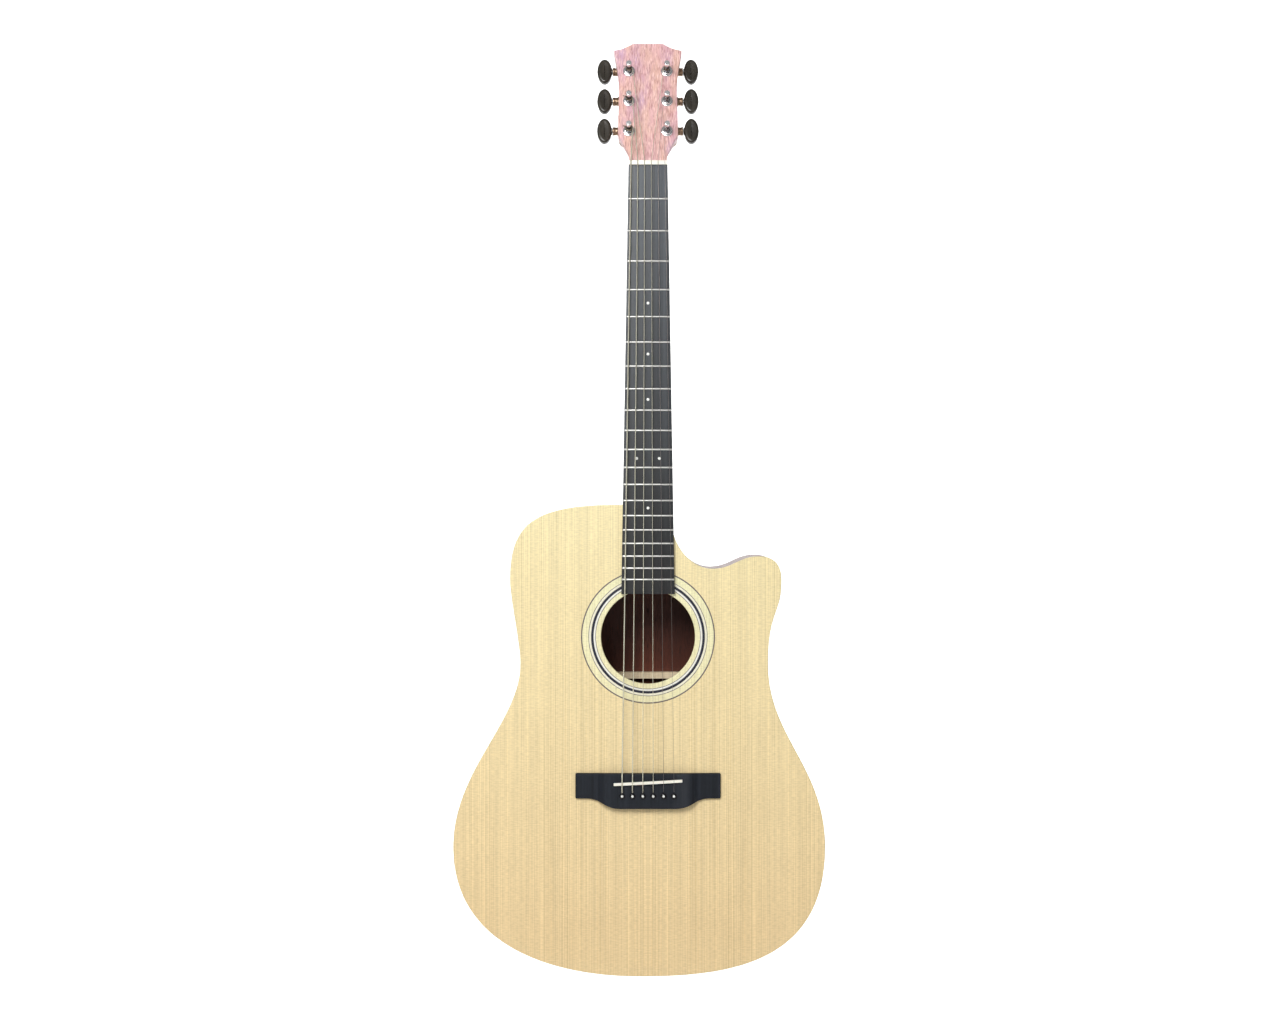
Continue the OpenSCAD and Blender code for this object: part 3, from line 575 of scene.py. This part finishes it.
def cubic(a, leave, d, arrive, count):
    """Points of a curve from a, leaving along one vector, to d, arriving along another."""
    a, d = Vector(a), Vector(d)
    b, c = a + Vector(leave), d - Vector(arrive)
    made = []
    for k in range(count + 1):
        t = k / count
        u = 1 - t
        made.append(u ** 3 * a + 3 * u * u * t * b + 3 * u * t * t * c + t ** 3 * d)
    return made


def between(a, b, t):
    return a + (b - a) * t


def second_at(points, first):
    """A curve's second coordinate where its first, which only rises or only falls, has a value."""
    for (a0, a1), (b0, b1) in zip(points, points[1:]):
        if a0 != b0 and min(a0, b0) <= first <= max(a0, b0):
            return between(a1, b1, (first - a0) / (b0 - a0))
    return points[-1][1]


def smooth_step(t):
    t = min(max(t, 0.0), 1.0)
    return t * t * (3 - 2 * t)


# -------------------- body

back_mount = next(m for m in frame["record"]["mounts"] if m["name"] == "back_face")
BACK_AT, BACK_AXIS = Vector(back_mount["pos_m"]), Vector(back_mount["axis"])
BACK_T = 2.8 * MM
SIDE_T = 2.2 * MM
HOLE_R = 50 * MM
HOLE = (0.0, HOLE_Z)


def back_y(z):
    """The outer face of the back at height z."""
    return BACK_AT.y - (z - BACK_AT.z) * BACK_AXIS.z / BACK_AXIS.y


front_loops = loops_on_plane("soundboard", Vector((0, -1, 0)), -FRONT_Y, X_AXIS, Z_AXIS)
outline = finer(front_loops[0], 4)


def make_body():
    hole = circle(HOLE_R, HOLE)
    bm = plate(bmesh.new(), [outline, hole], lambda p, h: Vector((p.x, -h, p.y)),
               -INNER_Y, -FRONT_Y, 0.05 * MM, 1.1 * MM)
    piece("top_plate", bm, "spruce_top", replaces=["soundboard"], flat=True)

    bm = plate(bmesh.new(), [outline], lambda p, d: Vector((p.x, back_y(p.y) - d, p.y)),
               0.0, BACK_T, 1.8 * MM, 0.05 * MM)
    piece("back_panel", bm, "mahogany", replaces=["back_plate"], flat=True)

    bm = bmesh.new()
    layer = bm.loops.layers.uv.new("grain")
    inner = inset_loop(outline, SIDE_T)
    rows = [(outline, 0.0), (outline, 1.0), (inner, 1.0), (inner, 0.0)]
    rings = []
    for points, share in rows:
        rings.append([bm.verts.new((p.x, between(INNER_Y, back_y(p.y) - BACK_T, share), p.y))
                      for p in points])
    run = [0.0]
    for k in range(len(outline)):
        run.append(run[-1] + (outline[(k + 1) % len(outline)] - outline[k]).length)
    for low, high in zip(rings, rings[1:] + rings[:1]):
        for j in range(len(outline)):
            k = (j + 1) % len(outline)
            face = bm.faces.new((low[j], low[k], high[k], high[j]))
            for loop, along in zip(face.loops, (run[j], run[j + 1], run[j + 1], run[j])):
                loop[layer].uv = (along, loop.vert.co.y)
    sides = ["side_bass", "side_treble"]
    piece("rims", bm, "mahogany_bent", replaces=sides, flat=True)


# The rosette's rings: inner radius and outer radius in millimetres, and material
ROSETTE = [
    (55.4, 56.0, "inlay_grey"), (56.0, 57.9, "inlay_white"), (57.9, 60.6, "inlay_black"),
    (60.6, 62.8, "inlay_cream"), (62.8, 63.4, "inlay_grey"), (70.0, 71.3, "inlay_grey")]


def make_rosette():
    """Flush rings, each a hair proud of the soundboard so that light catches its edges."""
    proud = 0.03 * MM
    for k, (inner, outer, material) in enumerate(ROSETTE):
        pale = material in ("inlay_white", "inlay_cream")
        bm = plate(bmesh.new(), [circle(outer * MM, HOLE, 192), circle(inner * MM, HOLE, 192)],
                   lambda p, h: Vector((p.x, FRONT_Y - h, p.y)), -1 * MM, proud,
                   0.0001 * MM, 0.02 * MM, 2)
        piece("rosette_ring_%d" % k, bm, material,
              replaces=["rosette_white" if pale else "rosette_dark"])


# -------------------- bridge

bridge_low, bridge_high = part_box("bridge")
BRIDGE_HALF = bridge_high.x
PIN_GAP = 11 * MM
# In millimetres from the middle: the end of the full height and the start of the thin wings, and
# the end of the belly's straight edge and the start of the wings' straight edges
FULL_X, WING_X = 45, 54
BELLY_X, EDGE_X = 30, 66
# Heights in millimetres: the middle, the wings' roots and their tips; and how far the belly drops
FULL_T, WING_T, TIP_T = 9, 4, 3.5
BELLY_DROP = 10.6


def bridge_height(x):
    """Height of the bridge's top over the soundboard: full in the middle, falling to thin wings."""
    x = abs(x) / MM
    if x <= FULL_X:
        return FULL_T * MM
    if x < WING_X:
        return second_at(cubic((FULL_X, FULL_T), (4, 0), (WING_X, WING_T), (3, 0), 24), x) * MM
    return between(WING_T, TIP_T, (x - WING_X) / (BRIDGE_HALF / MM - WING_X)) * MM


def bridge_back(x):
    """Lower edge of the bridge: straight wings and a belly in the middle."""
    x = abs(x) / MM
    belly = bridge_low.z / MM
    wing = belly + BELLY_DROP
    if x >= EDGE_X:
        return wing * MM
    if x <= BELLY_X:
        return belly * MM
    return second_at(cubic((EDGE_X, wing), (-16, 0), (BELLY_X, belly), (-15, 0), 24), x) * MM


def make_bridge():
    """The bridge in cross-sections from tip to tip, its top edges and ends rounded."""
    edge = 1.4 * MM
    inner = BRIDGE_HALF - edge
    corner = rounding(edge, 6)
    ends = [(drop - BRIDGE_HALF, inset) for inset, drop in corner[:-1]]
    sections = ends + [(between(-inner, inner, k / 220), 0.0) for k in range(221)]
    sections += [(-x, inset) for x, inset in reversed(ends)]
    bm = bmesh.new()
    rings = []
    for x, inset in sections:
        back, front = bridge_back(x) + inset, bridge_high.z - inset
        top = bridge_height(x) - inset
        ring = [(back, 0.0)] + [(back + b, top - a) for a, b in corner]
        ring += [(front - a, top - b) for a, b in corner] + [(front, 0.0)]
        rings.append([bm.verts.new((x, FRONT_Y - h, z)) for z, h in ring])
    join_rings(bm, rings)
    piece("bridge_body", bm, "ebony_bridge", replaces=["bridge"], flat=True)
    copy_of("saddle", 0.5 * MM)

    top = bridge_height(0)
    head = [(1.9, -16), (2.4, 0), (2.75, 0), (2.95, 0.3), (2.95, 1.0), (2.8, 1.6), (2.4, 2.2),
            (1.7, 2.55), (1.25, 2.65)]
    dot = [(1.2, 2.4), (1.2, 2.68), (1.0, 2.8), (0.5, 2.88)]
    bm, dots = bmesh.new(), bmesh.new()
    for k in range(6):
        x = (k - 2.5) * PIN_GAP
        place = lambda u, v, h, x=x: Vector((x + u, FRONT_Y - top - h, PIN_ROW_Z + v))
        lathe(bm, head, place, 32)
        lathe(dots, dot, place, 24)
    piece("pegs_black", bm, "pin_black", replaces=["bridge_pins"])
    piece("pegs_pearl", dots, "pearl", replaces=["pin_dots"])


# -------------------- fretboard and nut

NUT_GAP = 7.2 * MM
SCALE = 643 * MM
RADIUS = 400 * MM
BOARD_T = 6 * MM
BOARD_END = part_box("fretboard")[0].z
HALF_NUT = 20.8 * MM
HALF_END = 28.4 * MM
FRETS = 20
MARKERS = [(5, 0), (7, 0), (9, 0), (12, -12 * MM), (12, 12 * MM), (15, 0)]  # fret, and place across


def board_half(z):
    return between(HALF_NUT, HALF_END, (NUT_Z - z) / (NUT_Z - BOARD_END))


def crown_drop(x):
    return RADIUS - math.sqrt(RADIUS * RADIUS - x * x)


def fret_z(n):
    return NUT_Z - SCALE * (1 - 2 ** (-n / 12))


def make_fretboard():
    edge = 0.4 * MM
    bm = bmesh.new()
    rings = []
    heights = [(BOARD_END, edge), (BOARD_END + edge * 0.3, edge * 0.3), (BOARD_END + edge, 0.0)]
    heights += [(between(BOARD_END + edge, NUT_Z, k / 40), 0.0) for k in range(1, 41)]
    for z, sink in heights:
        half = board_half(z)
        ring = [(-half, 0.0)]
        for inset, drop in rounding(edge, 5):
            ring.append((drop - half, BOARD_T - crown_drop(drop - half) - sink - inset))
        for k in range(1, 24):
            x = between(-half + edge, half - edge, k / 24)
            ring.append((x, BOARD_T - crown_drop(x) - sink))
        ring += [(-x, h) for x, h in reversed(ring[:7])]
        rings.append([bm.verts.new((x, FRONT_Y - h, z)) for x, h in ring])
    join_rings(bm, rings)
    piece("fingerboard", bm, "fretboard_wood", replaces=["fretboard"], flat=True)

    bm = bmesh.new()
    tall, half_w, sunk = 1.1 * MM, 1.0 * MM, 0.15 * MM
    for n in range(1, FRETS + 1):
        z = fret_z(n)
        half = board_half(z) - 0.25 * MM
        run = [half * s for c, s in arc(28, -90, 180)]
        rings = []
        for x in run:
            bevel = min(1.0, (half - abs(x)) / (1.5 * MM))
            height = tall * (0.25 + 0.75 * math.sin(math.pi / 2 * bevel))
            foot = BOARD_T - crown_drop(x) - sunk
            ring = [(z + half_w * c, foot + (height + sunk) * s) for c, s in arc(10, 0, 180)]
            rings.append([bm.verts.new((x, FRONT_Y - h, v)) for v, h in ring])
        join_rings(bm, rings)
    piece("fret_wires", bm, "fret_wire", replaces=["frets"], sharp=50)

    bm = bmesh.new()
    for n, x in MARKERS:
        middle = (fret_z(n) + fret_z(n - 1)) / 2
        lathe(bm, [(1.5, -1), (1.5, 0.0), (1.42, 0.04)], lambda u, v, h, x=x, z=middle: Vector(
            (x + u, FRONT_Y - BOARD_T + crown_drop(x + u) - h, z + v)), 40)
    piece("position_dots", bm, "pearl", replaces=["fret_markers"])
    copy_of("nut", 0.25 * MM, 2)


# -------------------- neck, heel and headstock

HEAD_T = 15 * MM
GLUE_Y = FRONT_Y + 13 * MM
cap_low, cap_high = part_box("heel_cap")
CAP_Y = cap_low.y
CAP_ROUND = 9 * MM
face_foot = head_point(0, 0, 0)
head_loops = loops_on_plane("headstock", HEAD_AXIS, face_foot.dot(HEAD_AXIS), X_AXIS, HEAD_UP)
head_outline = [Vector((p.x, p.y - face_foot.dot(HEAD_UP))) for p in head_loops[0]]
corner_s = max(p.y for p in head_outline) - 7.9 * MM
head_right = sorted({(round(p.y, 7), p.x) for p in head_outline if p.x > 0 and p.y < corner_s})


def head_half(s):
    """Half the headstock's width at distance s from the nut."""
    return head_right[0][1] if s <= head_right[0][0] else second_at(head_right, s)


def section(half, depth, order, power, edge, taper=lambda behind: 1.0):
    """One cross-section of the neck as (sideways, behind the face) pairs, left to right round the back.
    order and power set how square the back is; edge rounds the front corners."""
    side = [(half - inset, drop) for inset, drop in rounding(edge, 3)]
    for c, share in arc(16)[1:]:
        behind = edge + (depth - edge) * share
        side.append((half * taper(behind) * max(1 - share ** order, 0.0) ** power, behind))
    return [(-x, d) for x, d in side] + [(x, d) for x, d in reversed(side[:-1])]


def make_neck():
    """The neck and its heel in cross-sections from the body up, then the root of the headstock."""
    depth_low, depth_high, straight_end = 17 * MM, 15.5 * MM, 868 * MM
    half_at_glue, half_at_cap = 25, 12
    glue_y, cap_y, cap_z = GLUE_Y / MM, CAP_Y / MM, cap_high.z / MM
    taper_curve = cubic((glue_y, half_at_glue), (40, 0), (cap_y, half_at_cap), (30, -2), 40)

    def narrowing(behind):
        y = (FRONT_Y + behind) / MM
        return 1.0 if y <= glue_y else second_at(taper_curve, y) / half_at_glue

    sweep = cubic((cap_y, cap_z), (-46, 2), (glue_y + 4, HEEL_TOP / MM), (0, 30), 36)
    deepest = CAP_Y - FRONT_Y
    rows = [(BODY_TOP, deepest), (between(BODY_TOP, cap_high.z, 0.5), deepest)]
    rows += [(p.y * MM, p.x * MM - FRONT_Y) for p in sweep]
    for k in range(1, 31):
        z = between(HEEL_TOP, straight_end, k / 30)
        rows.append((z, between(depth_low, depth_high, (z - BODY_TOP) / (HEAD_Z - BODY_TOP))))
    bm = bmesh.new()
    rings = []
    for z, depth in rows:
        deep = min(max((depth / MM - 18) / 72, 0.0), 1.0)
        order = between(2.1, 7.0, smooth_step(deep)) + 200 * max(deep - 0.9, 0)
        ring = section(board_half(z), depth, order, between(0.56, 0.5, deep), 0.25 * MM, narrowing)
        last = [(x, FRONT_Y + behind, z) for x, behind in ring]
        rings.append([bm.verts.new(point) for point in last])
    join_rings(bm, rings)
    piece("neck_and_heel", bm, "neck_wood", replaces=["neck_shaft", "neck_heel"], sharp=40, flat=True)
    make_heel_cap()

    # Distance from the nut along the face, and how far the section has turned into the headstock's
    steps = [(-2.5, 0.0), (0.0, 0.02), (3, 0.08), (7, 0.22), (11, 0.42), (15, 0.62), (20, 0.8),
             (25, 0.92), (30, 0.98), (34, 1.0)]
    inside = 0.02 * MM
    bm = bmesh.new()
    rings = [[bm.verts.new(point) for point in last]]
    for s, share in steps:
        s *= MM
        half = between(board_half(HEAD_Z), head_half(max(s, 0.0)), min(max(s / (3 * MM), 0), 1))
        depth = between(depth_high - 0.4 * MM, HEAD_T, share)
        edge = 0.8 * MM if s > 0 else 0.25 * MM
        ring = section(half - inside * share, depth - inside * share, 2.1 + 26 * share ** 2.2,
                       between(0.56, 0.5, share), edge)
        front = 1 * MM if s <= 0 else 0.0
        rings.append([bm.verts.new(head_point(x, s, -max(behind, front) - inside / 2))
                      for x, behind in ring])
    join_rings(bm, rings)
    piece("head_root", bm, "headstock_wood", replaces=["headstock"], sharp=40, flat=True)


def make_heel_cap():
    """A thin plate over the heel's end, its upper corners rounded."""
    shield = [Vector((cap_high.x, cap_low.z))]
    for side in (1, -1):
        corner = Vector((side * (cap_high.x - CAP_ROUND), cap_high.z - CAP_ROUND))
        shield += [corner + CAP_ROUND * Vector((side * c, s)) for c, s in arc(12)[::side]]
    shield.append(Vector((cap_low.x, cap_low.z)))
    bm = plate(bmesh.new(), [shield], lambda p, y: Vector((p.x, y, p.y)), cap_low.y, cap_high.y,
               0.05 * MM, 0.9 * MM)
    piece("heel_cap_piece", bm, "heel_cap_wood", replaces=["heel_cap"], flat=True)


def make_headstock():
    """The headstock's slab, from just inside the neck's root up to the crown."""
    bottom = 33 * MM
    side = [p for p in head_outline if p.y > bottom + 0.5 * MM]
    half = head_half(bottom)
    start = min(range(len(side)), key=lambda k: (side[k].y if side[k].x > 0 else 1))
    ordered = side[start:] + side[:start]
    if ordered[1].y < ordered[0].y:
        ordered = [ordered[0]] + list(reversed(ordered[1:]))
    loop = [Vector((half, bottom))] + ordered + [Vector((-half, bottom))]
    loop = finer(loop, 3, 18)
    bm = plate(bmesh.new(), [loop], lambda p, h: head_point(p.x, p.y, h), -HEAD_T, 0.0,
               1.6 * MM, 0.8 * MM, 5)
    piece("head_slab", bm, "headstock_wood", replaces=["headstock"], flat=True)


# -------------------- tuning gear

POST_X = 20.3 * MM
key_at = Vector(JOINTS["key_low_e_turn"]["pos_m"])
WORM_RISE = (key_at - Vector(JOINTS["peg_low_e_turn"]["pos_m"])).dot(HEAD_UP)
GEAR_OUT = (key_at - head_point(0, 0, 0)).dot(HEAD_AXIS)
SHELL_BACK = GEAR_OUT - 6.4 * MM
SCREW_X, SCREW_Y = -12.5 * MM, 3.1 * MM


def tuner_frame(index):
    """Gives the point at (x, y, z) from one tuner's post: outwards, to the crown, out of the face."""
    side = -1 if index < 3 else 1
    peg = Vector(JOINTS["peg_%s_turn" % STRINGS[index]]["pos_m"])
    along = (peg - head_point(0, 0, 0)).dot(HEAD_UP)
    return lambda x, y, z: head_point(side * (POST_X + x), along + y, z)


def make_button(index):
    """A thick oval key with rounded rims, a turned collar and a small end screw."""
    name, at = STRINGS[index], tuner_frame(index)
    middle, half_w, half_l, half_t, rim = 26.5 * MM, 8 * MM, 14 * MM, 4.25 * MM, 2.6 * MM
    oval = [Vector((half_w * c, half_l * s)) for c, s in around(72)]
    # Inset from the oval's edge and height over the key's middle plane, from the centre of one
    # dished side out to the rim, and the same again on the other side
    levels = [(5.6 * MM, -half_t + 0.315 * MM), (4.2 * MM, -half_t + 0.108 * MM)]
    levels += [(inset, drop - half_t) for inset, drop in rounding(rim, 8)]
    levels += [(inset, -height) for inset, height in reversed(levels)]
    bm = bmesh.new()
    rings = [[bm.verts.new(at(middle + p.x, WORM_RISE + p.y, GEAR_OUT + height))
              for p in inset_loop(oval, inset)] for inset, height in levels]
    join_rings(bm, rings)
    along_worm = lambda u, v, h: at(h, WORM_RISE + u, GEAR_OUT + v)
    collar = [(2.3, 18.1), (3.5, 18.1), (3.9, 18.4), (3.9, 19.3), (3.4, 19.9), (3.2, 21.0), (3.4, 22.4)]
    lathe(bm, collar, along_worm, 36)
    piece("key_oval_" + name, bm, "button_dark", "key_" + name, ["button_" + name])
    screw = [(1.7, 33.4), (1.7, 34.1), (1.4, 34.5), (0.6, 34.7)]
    piece("key_screw_" + name, lathe(bmesh.new(), screw, along_worm, 24), "bronze_metal", "key_" + name)


def make_housing(index):
    """The gear's closed shell on the back of the headstock, with the barrel that carries the key."""
    name, at = STRINGS[index], tuner_frame(index)
    # The shell in millimetres: its sides, foot and crown, then each corner with its radius and the
    # angle at which its arc starts
    low, high, foot, crown = -9, 11.2, -8.4, 14.6
    corners = [(high, crown, 3.2, 0), (low, crown, 3.2, 90),
               (low, foot, 4.0, 180), (high, foot, 7.0, 270)]
    loop = []
    for cx, cy, r, first in corners:
        cx, cy = cx - math.copysign(r, cx), cy - math.copysign(r, cy)
        loop += [MM * Vector((cx + r * c, cy + r * s)) for c, s in arc(8, first)]
    flat = lambda p, h: at(p.x, p.y, h)
    bm = plate(bmesh.new(), [loop], flat, SHELL_BACK, -HEAD_T, 2.2 * MM, 0.4 * MM, 6)
    tab_end, tab_half, tab_start = 3.4 * MM, 3.6 * MM, -8 * MM
    tab = [Vector((tab_start, SCREW_Y + tab_half))]
    tab += [Vector((SCREW_X + tab_end * c, SCREW_Y + tab_half * s)) for c, s in arc(24, 90, 180)]
    tab.append(Vector((tab_start, SCREW_Y - tab_half)))
    plate(bm, [tab], flat, -HEAD_T - 2 * MM, -HEAD_T, 0.5 * MM, 0.05 * MM, 3)
    barrel = [(5.2, 10.2), (5.2, 11.6), (4.7, 12.2), (4.4, 13.0), (4.4, 15.3), (4.6, 15.8), (4.7, 16.3),
              (4.7, 17.2), (4.4, 17.7), (2.3, 17.8)]
    lathe(bm, barrel, lambda u, v, h: at(h, WORM_RISE + u, GEAR_OUT + v), 40)
    boss = [(3.4, 0.4), (3.4, -0.3), (3.1, -0.7), (2.2, -0.8), (2.2, -0.4), (1.2, -0.2)]
    lathe(bm, boss, lambda u, v, h: at(u, v, SHELL_BACK + h), 36)
    replaced = ["tuner_housings", "tuner_covers"]
    piece("gear_shell_" + name, bm, "bronze_metal", replaces=replaced, sharp=40, flat=True)
    screw = [(2.35, -17.0), (2.35, -17.5), (2.0, -18.2), (1.2, -18.6)]
    bm = lathe(bmesh.new(), screw, lambda u, v, h: at(SCREW_X + u, SCREW_Y + v, h), 28)
    piece("gear_screw_" + name, bm, "bronze_metal", replaces=["tuner_screws"])


def make_post(index):
    """The turning post: waisted, with a cross hole, a domed tip above the bushing, and its gear."""
    name = STRINGS[index]
    # The post's material paints its highlight and its shade.
    copy_of("post_" + name, 0, name="peg_post_" + name, material="chrome_post_painted_light", body="peg_" + name)


def make_bushing(index):
    """The washer on the face and the hexagonal bushing that holds it."""
    name, at = STRINGS[index], tuner_frame(index)
    washer = [(4.7, 0.02), (6.3, 0.02), (6.5, 0.3), (6.4, 0.7), (6.0, 1.1), (5.6, 1.22), (3.1, 1.22)]
    bm = lathe(bmesh.new(), washer, at, 56)
    piece("post_washer_" + name, bm, "chrome", replaces=["tuner_washers"])
    hexagon, bore = circle(5.6 * MM, sides=6), circle(3.06 * MM, sides=40)
    bm = plate(bmesh.new(), [hexagon, bore], lambda p, h: at(p.x, p.y, h), -11 * MM, 4.2 * MM,
               0.1 * MM, 0.5 * MM, 4)
    piece("post_bushing_" + name, bm, "chrome", replaces=["tuner_bushings"], sharp=25, flat=True)


# -------------------- strings

GAUGES = [g * 25.4 * MM / 2 for g in (0.053, 0.042, 0.032, 0.024, 0.016, 0.012)]  # radii
WRAPS = [2.1, 2.6, 3.1, 3.6, 5.2, 6.2]
POST_R = 3 * MM
WIND_OUT = 7.5 * MM  # the first turn's height over the headstock's face
CORD_HOLE = 11.6 * MM  # the height of the hole that the string's end goes through
POST_WAIST = [(5, 3), (6, 2.6), (7.5, 2.4), (13, 2.6), (14.5, 3)]  # height and radius in millimetres
SADDLE_TOP, NUT_TOP = 12.5 * MM, 7.6 * MM
SADDLE_SLANT = math.tan(math.radians(3.018))
saddle_low, saddle_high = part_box("saddle")


def rounded(points, radius):
    """A path with its inner corners replaced by short curves."""
    parts = 5
    made = [points[0]]
    for a, b, c in zip(points, points[1:], points[2:]):
        reach = min(radius, (b - a).length / 2.2, (c - b).length / 2.2)
        start, end = b + (a - b).normalized() * reach, b + (c - b).normalized() * reach
        for k in range(parts + 1):
            t = k / parts
            made.append((1 - t) ** 2 * start + 2 * t * (1 - t) * b + t * t * end)
    return made + [points[-1]]


def post_radius(height):
    """Radius of a post's waist at a height over the headstock's face."""
    return second_at(POST_WAIST, min(max(height / MM, POST_WAIST[0][0]), POST_WAIST[-1][0])) * MM


def make_string(index):
    """A string from its hole in the bridge over saddle and nut to its post, and its turns there."""
    name, radius, at = STRINGS[index], GAUGES[index], tuner_frame(index)
    material = "wound_string" if name in WOUND else "plain_string"
    slack = 0.05 * MM
    x_nut, x_bridge = (index - 2.5) * NUT_GAP, (index - 2.5) * PIN_GAP
    saddle_z = (saddle_low.z + saddle_high.z) / 2 + x_bridge * SADDLE_SLANT
    hole_z = PIN_ROW_Z + 3.7 * MM
    y_hole = FRONT_Y - bridge_height(0) - radius - 0.2 * MM
    y_saddle = FRONT_Y - SADDLE_TOP + crown_drop(x_bridge) - radius - slack
    y_nut = FRONT_Y - NUT_TOP + crown_drop(x_nut) - radius - slack
    path = [Vector((x_bridge, INNER_Y + 2.4 * MM, hole_z)), Vector((x_bridge, y_hole, hole_z)),
            Vector((x_bridge, y_saddle, saddle_z)), Vector((x_nut, y_nut, NUT_Z)),
            Vector((x_nut, y_nut, HEAD_Z)), at(-(POST_R + radius + 0.2 * MM), 0, WIND_OUT)]
    bm = tube(bmesh.new(), rounded(path, 1.6 * MM), radius, 14)
    piece("wire_" + name, bm, material, replaces=["string_" + name], sharp=60)

    if name in WOUND:
        lead = [path[1] + Vector((0, 2 * MM, 0)), path[1], between(path[1], path[2], 0.75)]
        bm = tube(bmesh.new(), rounded(lead, 1.2 * MM), radius * 1.22, 14)
        piece("lead_" + name, bm, material, sharp=60)

    turns = WRAPS[index]
    count = int(turns * 28)
    rise = min(2.08 * radius * turns, CORD_HOLE - WIND_OUT - radius)
    coil = []
    for k in range(count + 1):
        share = k / count
        angle = math.pi - 2 * math.pi * turns * share
        out = WIND_OUT + rise * share
        away = post_radius(out) + radius + 0.02 * MM
        coil.append(at(away * math.cos(angle), away * math.sin(angle), out))
    leaving = math.pi - 2 * math.pi * turns - 0.5
    coil.append(at(3.6 * MM * math.cos(leaving), 3.6 * MM * math.sin(leaving), CORD_HOLE))
    bm = tube(bmesh.new(), coil, radius, 12)
    tail = [at(2.4 * MM, 0.1 * MM, CORD_HOLE), at(4.6 * MM, 0.2 * MM, CORD_HOLE),
            at(6.2 * MM, 0.9 * MM, CORD_HOLE - 0.5 * MM)]
    tube(bm, tail, radius * 0.95, 10)
    # Painted shade: wound strings' coils take a darker copy of the wound wire; plain strings keep their darkened
    # steel.
    coil_material = "wound_coil_painted_shade" if name in WOUND else material
    piece("wraps_" + name, bm, coil_material, "peg_" + name, sharp=60)


# -------------------- the build

def paint_rest():
    """Gives every CAD node that is still shown its slot's material."""
    for name, node in NODES.items():
        node.data.materials.clear()
        node.data.materials.append(MATERIALS[SLOT_OF[name]])


make_body()
make_rosette()
make_bridge()
make_fretboard()
make_neck()
make_headstock()
for tuner in range(6):
    make_button(tuner)
    make_housing(tuner)
    make_post(tuner)
    make_bushing(tuner)
    make_string(tuner)
copy_of("end_pin", 0.2 * MM)
paint_rest()


# -------------------- stage, light and camera

def make_stage():
    """A pale floor that curves up into a wall behind the guitar."""
    floor_z, near, bend, far, wide, tall = -0.35, -6.0, 0.9, 1.9, 7.0, 6.0
    line = [(near, floor_z), (bend, floor_z)]
    line += [(bend + (far - bend) * s, floor_z + (far - bend) * (1 - c)) for c, s in arc(12)[1:]]
    line.append((far, tall))
    bm = bmesh.new()
    rows = [[bm.verts.new((x, y, z)) for y, z in line] for x in (-wide, wide)]
    for k in range(len(line) - 1):
        bm.faces.new((rows[0][k], rows[1][k], rows[1][k + 1], rows[0][k + 1]))
    g = Graph("pale_floor")
    g.wire(Base_Color=g.ramp(g.noise(g.scaled(), 3.0), [(0.3, 0.86), (0.7, 0.88)]), Roughness=0.9,
           Specular_IOR_Level=0.1)
    made = new_object("floor_sweep", smooth_mesh("floor_sweep", bm, "pale_floor"))


def area_light(name, place, target, size, power, spread=180.0):
    lamp = bpy.data.lights.new(name, "AREA")
    lamp.shape = "RECTANGLE"
    lamp.size, lamp.size_y = size
    lamp.energy = power
    lamp.spread = math.radians(spread)
    made = new_object(name, lamp)
    made.location = place
    made.rotation_euler = (Vector(target) - Vector(place)).to_track_quat("-Z", "Y").to_euler()


make_stage()
area_light("key_soft", (-0.55, -1.75, 1.35), (0, 0, 0.5), (0.9, 0.9), 36)
area_light("fill_soft", (2.0, -2.4, 0.6), (0, 0, 0.4), (1.6, 1.6), 8)
area_light("wall_wash", (0, 0.6, 3.0), (0, 1.9, 0.4), (4.0, 0.8), 62, 80)

world = bpy.data.worlds.new("studio")
world.use_nodes = True
colour, strength = world.node_tree.nodes["Background"].inputs[:2]
colour.default_value, strength.default_value = (1, 1, 1, 1), 0.27
bpy.context.scene.world = world
bpy.context.scene.view_settings.view_transform = "Standard"

# Level with the guitar's middle and a little to its bass side, square to the soundboard
CAMERA_AT = (-8.5 * MM, FRONT_Y - 2.46, 508 * MM)
camera_data = bpy.data.cameras.new("front_camera")
camera_data.lens = 65
camera_data.clip_end = 50
camera = new_object("front_camera", camera_data)
camera.location = CAMERA_AT
camera.rotation_euler = (math.pi / 2, 0, 0)
bpy.context.scene.camera = camera
